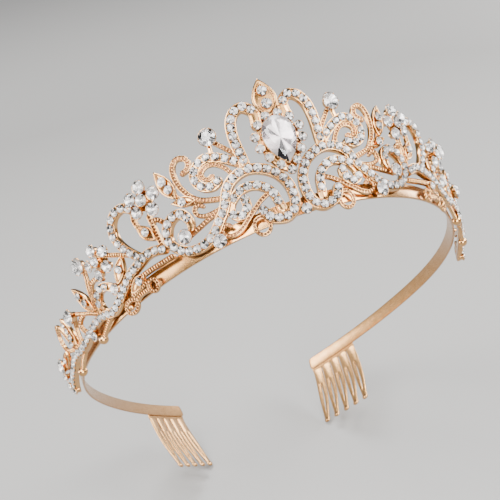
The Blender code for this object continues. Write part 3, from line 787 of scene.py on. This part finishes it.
VOLUTE = (
    (6.15, 5.0), (6.6, 7.5), (8.0, 9.7), (10.2, 11.2), (12.7, 11.65), (15.3, 10.9), (17.6, 9.3),
    (18.5, 7.2), (17.6, 5.4), (15.5, 5.0), (14.1, 6.4), (13.9, 8.6))

# Wires of the centre: width, elevation of the back and of the face, whether coiled, and the way.
CENTRE_WIRES = (
    (1.5, -1.34, -0.1, True, (
        (26.1, 22.8), (24.5, 23.2), (23.5, 24.6), (24.1, 26.3), (26.0, 27.1), (27.6, 26.1),
        (28.5, 23.7), (28.4, 20.5), (27.4, 17.5), (26.1, 15.3), (24.2, 13.6), (21.6, 12.4),
        (18.6, 11.4))),
    (1.25, -1.31, -0.25, True, (
        (14.3, 15.8), (15.0, 18.0), (16.2, 19.8), (17.9, 21.2), (19.9, 21.5), (21.6, 20.5),
        (21.7, 18.9), (20.6, 18.0), (19.3, 18.4))),
    (1.25, -1.29, -0.2, True, (
        (24.8, 12.2), (25.9, 13.1), (27.2, 12.5), (27.3, 11.0), (25.9, 9.7), (23.5, 9.2),
        (19.5, 9.4))),
    (1.3, -1.35, -0.3, True, ((20.8, 8.7), (24.5, 8.3), (28.0, 7.5), (32.0, 6.7))),
    (1.25, -1.33, -0.25, True, (
        (7.2, 8.2), (10.2, 6.9), (12.6, 5.3), (14.7, 3.8), (16.6, 2.5), (18.6, 1.5), (20.8, 1.3),
        (22.6, 2.2), (22.9, 3.8), (21.6, 4.9), (20.3, 4.0))),
    (1.25, -1.27, -0.25, True, ((15.4, 26.4), (13.4, 23.6), (11.4, 20.9))),
    (1.1, -1.25, -0.3, False, ((16.9, 26.4), (17.3, 24.0))),
    (1.2, -1.37, -0.35, True, ((30.5, 18.8), (29.4, 16.4), (28.0, 14.6), (25.4, 13.9))))

HALO = ((1.6, 27.75), (4.15, 26.0), (5.8, 22.9), (5.6, 19.5), (4.25, 16.4), (2.2, 13.6))
HALO_BOTTOM = (0.0, 11.4)
BASE_STONE = (0.0, 0.2)

FLOWER = (
    (38.4, 25.8, 1.95), (42.55, 24.2, 1.95), (35.4, 22.15, 1.85), (39.15, 22.1, 1.8),
    (42.3, 20.0, 1.8), (37.5, 18.4, 1.9))
FLOWER_MIDDLE = (39.3, 22.2)
HEART_LEAD = ((43.3, 21.2),)
HEART = (
    (44.4, 22.8), (46.9, 24.35), (50.2, 24.05), (52.5, 22.0), (53.4, 19.3), (53.0, 16.6),
    (51.85, 14.1), (50.3, 11.85), (49.0, 10.2))
BRANCH = (
    (40.4, 7.55), (43.2, 8.6), (46.2, 8.9), (49.3, 8.3), (52.2, 7.75), (54.9, 7.1), (57.3, 6.0),
    (59.4, 5.0), (61.8, 4.0), (64.8, 2.9), (68.0, 2.4), (71.0, 3.2), (74.4, 3.9), (78.3, 3.9),
    (82.1, 3.5), (85.8, 2.9), (89.4, 2.3), (93.4, 2.0), (98.1, 2.5), (102.1, 2.2), (105.8, 0.9),
    (109.6, 0.2), (113.4, -1.0), (117.4, -2.7))
SPRIG_LEAD = ((62.9, 7.9),)
SPRIG = ((65.8, 9.8), (69.2, 10.4), (71.5, 8.9), (72.3, 6.7), (71.9, 4.8))
WING_WIRES = (
    ((40.0, 17.9), (40.2, 12.8), (40.3, 8.4)),
    ((40.1, 14.9), (39.3, 15.9), (38.1, 15.6), (36.8, 14.0)),
    ((43.9, 21.4), (44.9, 19.4), (44.7, 17.0)),
    ((38.9, 4.6), (43.0, 4.75), (48.0, 4.95), (52.0, 5.0), (57.2, 4.9)),
    ((51.8, 12.3), (54.5, 13.9), (57.3, 15.5), (60.0, 17.0)),
    ((71.7, 18.8), (72.5, 16.1), (74.0, 13.2), (75.0, 9.1), (75.6, 5.2)),
    ((65.8, 12.4), (69.1, 13.9), (71.7, 13.6), (73.1, 11.8), (74.4, 9.8)),
    ((75.7, 5.7), (79.7, 8.0), (83.1, 9.5), (86.0, 10.9), (88.4, 11.9)),
    ((84.0, 9.2), (86.6, 8.7), (87.8, 7.2), (86.6, 5.0), (84.4, 3.9)),
    ((89.0, 10.8), (91.0, 8.2), (92.6, 3.4)),
    ((95.8, 6.4), (95.4, 2.6)),
    ((98.9, 4.6), (102.6, 5.6), (105.4, 7.6), (106.2, 10.4), (105.0, 13.2), (103.4, 14.9),
     (101.4, 12.8), (100.0, 10.0), (99.1, 7.2), (98.7, 5.0)),
    ((112.6, 4.6), (108.0, 3.4), (103.6, 2.4)),
    ((115.2, 2.0), (113.2, 0.4), (110.6, -0.2)),
    ((70.0, 2.2), (74.2, 0.9), (78.6, -0.7)),
    ((93.2, 1.0), (97.4, -0.3), (101.2, -2.0)),
    ((50.6, 2.7), (53.6, 2.4), (57.6, 2.1)),
    ((50.8, 0.7), (54.2, 1.0), (57.0, 0.4)))
BLOSSOM = (
    (63.1, 20.3, 1.8, 0.0, 0.1), (58.9, 17.8, 1.7, -0.6, 0.1), (67.0, 17.4, 1.7, 0.25, 0.0),
    (63.3, 16.8, 1.6, 0.0, 0.0), (60.2, 13.5, 1.8, -0.1, -0.1), (65.0, 13.2, 1.75, 0.1, -0.1))
SMALL_ROUNDS = (
    (62.0, 6.95, 1.65, 0.45), (81.8, 1.1, 1.55, 0.5), (115.6, 1.7, 1.35, 1.2),
    (117.8, -1.0, 1.35, 0.9), (97.3, 6.0, 1.1, 0.35), (116.2, -3.6, 1.2, 0.5))


def centre_half(d):
    """Right or left half of the centre casting."""
    d.row("scroll_stones", SCROLL, tail=SCROLL_TAIL, top=0.1, end_width=0.6)
    d.taken.append(HALO_BOTTOM)
    d.row("ear_stones", EAR, lead=EAR_LEAD, tail=EAR_TAIL)
    d.row("curl_stones", CURL, lead=CURL_LEAD, top=-0.05, width=2.55)
    d.row("scroll_stones", VOLUTE, lead=VOLUTE_LEAD, top=-0.1, width=2.45)
    for width, low, top, coiled, points in CENTRE_WIRES:
        d.wire(points, width, low, top, coiled)
    d.ring((12.4, 0.35), (2.15, 2.4), 1.05)
    d.round("crown_ball_stone", 16.4, 28.0, 2.5, low=-1.2, girdle=1.05, claws=6)
    d.round("loop_ball_stone", 32.4, 6.75, 2.0, low=-1.2, girdle=0.85, claws=5)
    d.round("lower_round_stone", 24.15, 1.0, 2.0, low=-1.2, girdle=1.0, claws=5)
    d.leaf((30.5, 17.3), (32.9, 27.2), 2.0, ((31.85, 23.4, 1.35), (31.15, 20.6, 1.25)), low=-1.23)
    d.leaf((25.6, 14.5), (32.3, 16.9), 1.45, ((29.2, 15.6, 1.2),), low=-1.21)


def centre_middle(d):
    """The parts on the centre line: the crest leaf and the base stone."""
    d.leaf((0, 27.6), (0, 38.8), 3.05, ((0, 35.0, 1.4), (0, 31.2, 1.55)), low=-1.7, rim=0.2,
           name="crest_stones", wall=0.62, floor=0.25)
    for s in (-1.35, 1.35):
        d.button(s, 33.1, -0.15, 0.36, 1.0)
    d.round("base_stone", *BASE_STONE, 1.5, low=-1.4, girdle=0.65, claws=5)


def wing(d):
    """One side casting, from the flower to the end of the crystals."""
    d.row("wing_row_stones", BRANCH, top=0.06)
    d.row("wing_row_stones", HEART, lead=HEART_LEAD, width=2.7)
    d.row("wing_row_stones", SPRIG, lead=SPRIG_LEAD, top=-0.05, width=2.6)
    for n, points in enumerate(WING_WIRES):
        low = -1.4 + 0.01 * n
        d.wire(points, 1.45, low, low + 1.1)
    d.pad(*FLOWER_MIDDLE, 3.0, -1.25, -0.6)
    d.pad(63.0, 16.4, 3.2, -1.25, -0.6)
    for k, (s, h, r) in enumerate(FLOWER):
        tilt = ((s - FLOWER_MIDDLE[0]) * 0.03, (h - FLOWER_MIDDLE[1]) * 0.03)
        d.round("flower_stones", s, h, r, girdle=1.05 if k == 3 else 0.55, claws=4, tilt=tilt)
    for k, (s, h, r, a, b) in enumerate(BLOSSOM):
        d.round("blossom_stones", s, h, r, girdle=1.25 if k == 3 else 0.75, claws=4, tilt=(a, b))
    d.leaf((41.0, 10.8), (44.9, 17.6), 1.85, ((42.7, 14.2, 1.25),), low=-1.38)
    d.leaf((60.4, 7.4), (54.0, 13.4), 1.85, ((56.9, 10.5, 1.3),), low=-1.36, name="petal_stone")
    d.leaf((76.0, 6.2), (81.4, 17.6), 2.05, ((79.7, 14.1, 1.25), (78.2, 10.9, 1.25)), low=-1.34)
    d.leaf((95.0, 4.4), (96.8, 14.9), 1.8,
           ((96.3, 12.2, 1.0), (96.0, 10.0, 1.1), (95.7, 7.6, 1.1)), low=-1.32)
    d.leaf((103.9, 6.2), (111.9, 2.5), 1.9, ((107.6, 4.6, 1.1),), low=-1.3, lift=0.5)
    d.leaf((49.9, 5.0), (57.3, 2.7), 1.75, ((52.3, 4.1, 1.3),), low=-1.28, rim=-0.05)
    d.round("side_round_stone", 71.6, 20.0, 2.6, girdle=0.9, claws=6)
    d.round("wing_round_stone", 89.0, 11.4, 2.65, girdle=1.1, claws=6, tilt=(0.1, 0.15))
    d.round("end_round_stone", 112.6, 4.6, 2.55, girdle=1.2, claws=6, tilt=(0.1, 0.1))
    for s, h, r, girdle in SMALL_ROUNDS:
        d.round("small_round_stones", s, h, r, girdle=girdle, claws=4)
    d.button(79.4, -1.1, -0.5, 1.6, 1.0)
    d.button(102.0, -2.3, -0.7, 1.6, 1.0)
    d.pad(117.0, -0.9, 2.7, -1.15, -0.55)
    d.ring((48.9, 1.0), (1.75, 1.75), 1.1, low=-1.17)
    d.ring((59.8, -0.1), (2.75, 1.8), 1.25, low=-1.15)
    d.button(60.2, -0.2, -0.5, 0.95)


def pear_outline(grow=0.0, count=48, power=PEAR_TAPER):
    """Pear outline with its tip down; grow moves it outward, power draws the tip out."""
    top, tip, half = PEAR_TOP + grow, PEAR_TIP - grow * 1.5, PEAR_HALF_WIDTH + grow
    a = 2 * pi * np.arange(count) / count
    x, y = np.sin(a), -np.cos(a)
    s = half * np.where(y > 0, x, np.sign(x) * np.abs(x) ** power)
    h = PEAR_WIDEST + np.where(y > 0, (top - PEAR_WIDEST) * y, (PEAR_WIDEST - tip) * y)
    return np.stack([s, h], -1)


def pear_setting():
    """Scalloped gallery: a back plate, a raised collar, and a cup for every halo stone."""
    d = Design(1)
    profile = ((1.05, -1.6), (1.2, -1.5), (1.25, -0.4), (1.1, -0.2), (0.35, -0.2), (0.3, 0.5),
               (0.22, 0.95), (0.12, 1.1), (-0.02, 1.08), (-0.12, 0.9), (-0.9, 0.45), (-2.2, -0.2))
    rings = []
    for grow, z in profile:
        edge = pear_outline(grow, power=PLATE_TAPER if grow > 1 else PEAR_TAPER)
        rings.append(np.column_stack([edge, np.full(len(edge), z)]))
    d.metal.flat(np.vstack(rings), tube_faces(len(rings), len(edge)))
    for s, h in [(sign * s, h) for sign in (1, -1) for s, h in HALO] + [HALO_BOTTOM]:
        d.round("halo_stones", s, h, HALO_RADIUS, low=-1.5, girdle=0.8, claws=4)
    base, faces = DOME
    for s, h in pear_outline(0.12, 16)[1::2]:
        d.metal.rigid(base * (0.33, 0.33, 0.75), faces, (s, h, 1.15))
    return d


def pear_stone():
    """Large faceted pear: table, crown, and a pavilion of broad kites meeting at the culet."""
    n = 8
    fine = pear_outline(0.05, 2 * n)
    middle = np.array(PEAR_MIDDLE)

    def ring(scale, z, first=0):
        return np.column_stack([middle + (fine[first::2] - middle) * scale, np.full(n, z)])
    table, star, lower = ring(0.70, 2.35), ring(0.88, 1.95, 1), ring(0.62, 0.5, 1)
    girdle, low = (np.column_stack([fine, np.full(2 * n, z)]) for z in (1.35, 1.15))
    points = np.vstack([table, star, girdle, low, lower, [[*middle, -0.15]]])
    back = [[], [], []]
    # Painted reflections: wedges marked 1 take the dim foil and 2 the dark foil, darker copies that
    # stand for dark surroundings reflected in the pear.
    for k, shade in enumerate((0, 1, 0, 0, 0, 1, 0, 2)):
        left, right = LOW + 2 * k, LOW + 2 * ((k + 1) % n)
        back[shade] += break_faces(k) + [(CULET, right, LOWER + k), (CULET, LOWER + k, left)]
    shape = Shape()
    shape.flat(points, crown_faces(), slot=CROWN, smooth=False)
    for slot, faces in enumerate(back):
        shape.more_faces([faces], slot=PAVILION + slot, smooth=False)
    return shape


# ------------ headband and combs

def strip():
    """The headband: one long flat strip with eased edges and rounded, slanted ends."""
    s = np.arange(-HALF_LENGTH, HALF_LENGTH + 0.01, 1.0)
    ends = HALF_LENGTH - END_ROUND + END_ROUND * np.sin(np.linspace(0, pi / 2, 8))
    s = np.concatenate([-ends[::-1], s[np.abs(s) < HALF_LENGTH - END_ROUND - 0.1], ends])
    edge = 0.2
    corner = [(1 - cos(a), 1 - sin(a)) for a in np.linspace(0, pi / 2, 4)]
    half, back = BAND_WIDTH / 2, BAND_FACE - BAND_THICKNESS
    section = []
    for way, front in ((1, True), (-1, True), (-1, False), (1, False)):
        part = [(way * (half - edge * a), BAND_FACE - edge * b if front else back + edge * b)
                for a, b in corner]
        section += part if (way > 0) == front else part[::-1]
    points = []
    for x in s:
        over = max(0.0, abs(x) - (HALF_LENGTH - END_ROUND))
        squeeze = 1.0 - (END_ROUND - np.sqrt(max(0.0, END_ROUND ** 2 - over * over))) / half
        slant = END_SLANT * min(1.0, max(0.0, (abs(x) - SLANT_START) / SLANT_LENGTH))
        for w, d in section:
            h = half + w * squeeze
            points.append((x - np.sign(x) * slant * h, h, d))
    shape = Shape()
    shape.add(band_points(*np.array(points).T), tube_faces(len(s), len(section)))
    return shape


def comb_points(p, side):
    """Comb design (s, h, z) curled inward towards the hair."""
    p = np.asarray(p, float)
    drop = np.maximum(0.0, CURL_START - p[:, 1]) / (CURL_START - COMB_TIP)
    return band_points(p[:, 0] * side, p[:, 1], COMB_FACE - COMB_CURL * drop ** 1.35 + p[:, 2])


def plate(shape, left, right, low=0.0, high=COMB_THICKNESS):
    """Flat bar between two edge lines (s, h), with eased edges."""
    bevel = 0.3
    across = right - left
    across /= np.linalg.norm(across, axis=1)[:, None]
    profile = ((bevel, low), (bevel * 0.3, low + bevel * 0.3), (0.0, low + bevel),
               (0.0, high - bevel), (bevel * 0.3, high - bevel * 0.3), (bevel, high))
    lines = [(left + across * x, z) for x, z in profile]
    lines += [(right - across * x, z) for x, z in profile[::-1]]
    ring = [np.column_stack([line, np.full(len(line), z)]) for line, z in lines]
    points = np.stack(ring, 1).reshape(-1, 3)
    faces = tube_faces(len(left), len(ring))
    shape.add(comb_points(points, shape.side), faces, flip=shape.side > 0)


def comb(side):
    """Side comb: a bar soldered outside the strip, and five flat forked teeth with rounded feet."""
    shape = Shape(side)
    s = np.linspace(TOOTH_ROOTS[0] - 2.6, TOOTH_ROOTS[-1] + 2.4, 60)
    near = np.maximum(0.0, WEB_ROUND - np.minimum(s - s[0], s[-1] - s))
    ease = WEB_ROUND - np.sqrt(np.maximum(0.0, WEB_ROUND ** 2 - near ** 2))
    upper, lower = (np.column_stack([s, h + 0 * s]) for h in (WEB_TOP - ease, WEB_LOW))
    plate(shape, upper, lower, low=-0.02, high=COMB_THICKNESS + 0.02)
    t = np.linspace(0, 1, 51)
    half = np.interp(t, (0, 0.01, 0.025, 0.05, 0.15, 0.4, 0.55, 0.7, 0.8, 0.9, 1.0),
                     (2.8, 2.68, 2.62, 2.58, 2.62, 2.8, 2.74, 2.4, 2.0, 1.6, 1.25))
    slot = np.interp(t, (FORK_START, 0.34, 0.45, 0.6, 0.7, 0.8, FORK_END),
                     (0.1, 0.22, 0.44, 0.6, 0.56, 0.34, 0.1))
    fork, close = np.searchsorted(t, (FORK_START, FORK_END))
    points, faces = BALL
    for root, tip in zip(TOOTH_ROOTS, TOOTH_TIPS):
        middle = root + (tip - root) * t ** 1.1
        h = WEB_LOW + WEB_LAP + (COMB_TIP - WEB_LOW - WEB_LAP) * t
        outer, inner, inner2, outer2 = (np.column_stack([middle + x, h])
                                        for x in (-half, -slot, slot, half))
        plate(shape, outer[:fork + 1], outer2[:fork + 1])
        plate(shape, outer[fork:close + 1], inner[fork:close + 1])
        plate(shape, inner2[fork:close + 1], outer2[fork:close + 1])
        plate(shape, outer[close:], outer2[close:])
        foot = points * (1.75, 1.2, 0.8) + (tip, COMB_TIP + 0.1, COMB_THICKNESS / 2)
        shape.add(comb_points(foot, side), faces, flip=side < 0)
    return shape


# ------------ stage

FLOOR_SIZE = 16.0
FLOOR_GAP = 0.0002
WARM_WHITE = (1.0, 0.99, 0.97)
LOW_WHITE = (1.0, 0.985, 0.96)
SOFTBOXES = (
    ("high_left", (-0.50, -0.35, 0.80), (0.55, 0.50), 24, WARM_WHITE),
    ("high_right", (0.78, -0.30, 0.58), (0.55, 0.50), 23, WARM_WHITE),
    ("high_back", (0.05, 0.50, 0.86), (0.65, 0.45), 22, (1, 1, 1)),
    ("front", (-0.15, -0.93, 0.32), (0.60, 0.40), 17, (1, 1, 1)),
    ("front_high", (0.25, -0.68, 0.70), (0.50, 0.35), 3, WARM_WHITE),
    ("low_left", (-0.98, 0.30, 0.12), (0.40, 0.40), 9, LOW_WHITE),
    ("mid_left", (-0.95, 0.10, 0.46), (0.34, 0.26), 3, (1.0, 0.93, 0.85)),
    ("low_right", (0.92, 0.45, 0.15), (0.40, 0.40), 9, LOW_WHITE))
LENS = 69.9
CAMERA_PLACE = (-0.0733, -0.22871, 0.1083)
CAMERA_VIEW = (0.21330, 0.87444, -0.43573)
CAMERA_ROLL = -12.02


def floor_and_world():
    """Pale floor that brightens into the distance, and a dim even sky."""
    bpy.ops.mesh.primitive_plane_add(size=FLOOR_SIZE, location=(0, 0, cad_low[2] - FLOOR_GAP))
    floor = bpy.context.object
    floor.name = "floor"
    mat, tree, shader = node_material("pale_floor")
    patches = add_node(tree, "ShaderNodeTexNoise", Scale=3.0, Detail=3.0).outputs["Fac"]
    near = ramp(tree, patches, ((0.3, (0.195, 0.193, 0.189)), (0.7, (0.213, 0.211, 0.206))))
    reach = add_node(tree, "ShaderNodeVectorMath", Vector=object_space(tree))
    reach.operation = "LENGTH"
    far = mapped(tree, reach.outputs["Value"], 0.0, 1.0, 0.6, 2.4)
    feed(tree, shader, Base_Color=mixed(tree, far, near, (0.80, 0.79, 0.78)), Roughness=0.65)
    floor.data.materials.append(mat)

    world = bpy.data.worlds.new("studio")
    bpy.context.scene.world = world
    world.use_nodes = True
    tree = world.node_tree
    feed(tree, tree.nodes["Background"], Color=(0.93, 0.95, 1.0, 1.0), Strength=0.22)


def lights_and_camera():
    """Softboxes round the object's middle, and the camera, tied to where the headband stands."""
    centre = (Vector(cad_low) + Vector(cad_high)) / 2
    for name, place, size, power, colour in SOFTBOXES:
        data = bpy.data.lights.new(name, "AREA")
        data.shape = "RECTANGLE"
        data.size, data.size_y = size
        data.energy = power
        data.color = colour
        lamp = bpy.data.objects.new(name, data)
        lamp.visible_camera = False
        lamp.location = centre + Vector(place)
        lamp.rotation_euler = (centre - lamp.location).to_track_quat("-Z", "Y").to_euler()
        bpy.context.scene.collection.objects.link(lamp)

    data = bpy.data.cameras.new("camera")
    data.lens = LENS
    data.sensor_width = 36.0
    data.clip_start = 0.01
    camera = bpy.data.objects.new("camera", data)
    bpy.context.scene.collection.objects.link(camera)
    camera.location = Vector(STAND) + Vector(CAMERA_PLACE)
    camera.rotation_mode = "QUATERNION"
    camera.rotation_quaternion = (Vector(CAMERA_VIEW).to_track_quat("-Z", "Y")
                                  @ Quaternion((0, 0, 1), radians(CAMERA_ROLL)))
    bpy.context.scene.camera = camera


# ------------ pieces

# Stones in channels and their CAD nodes, and stones that no CAD node shows.
CHANNEL_ROWS = {"scroll_stones": "scroll_crystal_row", "ear_stones": "ear_crystal_row",
                "curl_stones": "curl_crystal_row", "wing_row_stones": "wing_crystal_row"}
FINE_STONES = ("leaf_stones", "wing_leaf_stones", "small_round_stones")


def stone_pieces(word, design, clear, sparkle):
    """One piece for each kind of stone of one side, standing for its CAD nodes."""
    for name, shape in design.stones.items():
        stands = [] if name in FINE_STONES else [name.replace("stone", "crystal")]
        if name in CHANNEL_ROWS:
            stands = [CHANNEL_ROWS[name]]
        elif name == "flower_stones":
            stands = ["flower_crystal_%d" % (k + 1) for k in range(6)]
        glass = clear if name in CHANNEL_ROWS else sparkle
        shape.piece("%s_%s" % (word, name), glass, "crystal_glass",
                    *(word + "_" + node for node in stands))


def main():
    """Stage, materials, and the pieces: strip, combs, castings, stones and the pear."""
    floor_and_world()
    lights_and_camera()
    # The third colour of each gold below is painted shade for its hollows.
    gold = rose_gold("rose_gold_casting", (0.59, 0.345, 0.155), (0.50, 0.265, 0.095),
                     (0.10, 0.04, 0.013), 0.17)
    # Painted shade: near-black gold for the sheets that floor the coiled wires' grooves.
    groove_shade = rose_gold("rose_gold_painted_groove_shade", (0.16, 0.07, 0.03), (0.10, 0.04, 0.018),
                       (0.03, 0.012, 0.006), 0.3)
    strip_gold = rose_gold("rose_gold_strip", (0.51, 0.285, 0.12), (0.44, 0.23, 0.085),
                           (0.30, 0.14, 0.048), 0.24, 0.004, True)
    comb_gold = rose_gold("rose_gold_comb", (0.53, 0.30, 0.125), (0.46, 0.25, 0.097),
                          (0.38, 0.195, 0.072), 0.26, 0.002)
    glass = ((0.98, 0.98, 0.99), (1.0, 1.0, 1.0))
    silver = ((1.0, 0.965, 0.955), (1.0, 0.985, 0.98))
    clear = (crown_glass("crystal_glass", glass), foil("crystal_glass", silver, 0.26, 0.42, 0.39))
    sparkle = (crown_glass("crystal_round", glass), foil("crystal_round", silver, 0.20, 0.36, 0.36))
    pear = (crown_glass("pear_glass", ((1.0, 0.965, 0.96), (1.0, 0.965, 0.96))),
            foil("pear_glass", ((0.97, 0.915, 0.92), (0.98, 0.935, 0.94)), 0.25, 0.40, 0.25),
            # The dim and dark pear foils are painted reflections: darker copies of the pear's foil
            # for chosen wedges.
            foil("pear_glass_painted_dim", ((0.52, 0.475, 0.49), (0.56, 0.51, 0.53)), 0.14, 0.28, 0.3),
            foil("pear_glass_painted_dark", ((0.045, 0.04, 0.045), (0.06, 0.054, 0.058)), 0.14, 0.28, 0.3))

    strip().piece("headband_strip", [strip_gold], "rose_gold_strip", "headband")
    for side, word in SIDES:
        comb(side).piece(word + "_hair_comb", [comb_gold], "rose_gold_comb", word + "_comb")

    centre = Design(1)
    centre_middle(centre)
    halves = [(word, Design(side)) for side, word in SIDES]
    for word, half in halves:
        half.taken.append(BASE_STONE)
        centre_half(half)
        centre.metal.join(half.metal)
    centre.metal.piece("centre_casting", [gold, groove_shade], "rose_gold_casting", "centre_filigree")
    centre.stones["crest_stones"].piece("crest_leaf_stones", clear, "crystal_glass",
                                        "leaf_crystal_upper", "leaf_crystal_lower")
    centre.stones["base_stone"].piece("base_stone", clear, "crystal_glass", "base_crystal")
    for word, half in halves:
        stone_pieces(word, half, clear, sparkle)

    for side, word in SIDES:
        design = Design(side)
        wing(design)
        design.metal.piece(word + "_wing_casting", [gold, groove_shade], "rose_gold_casting",
                           word + "_wing_filigree")
        design.stones["wing_leaf_stones"] = design.stones.pop("leaf_stones")
        stone_pieces(word, design, clear, sparkle)

    setting = pear_setting()
    setting.metal.piece("pear_gallery", [gold, groove_shade], "rose_gold_casting", "pear_setting")
    halo_nodes = ["halo_crystal_%s_%d" % (word, k + 1) for _, word in SIDES for k in range(6)]
    setting.stones["halo_stones"].piece("halo_stones", clear, "crystal_glass", *halo_nodes,
                                        "halo_crystal_bottom")
    pear_stone().piece("pear_stone", pear, "pear_glass", "pear_crystal")


main()
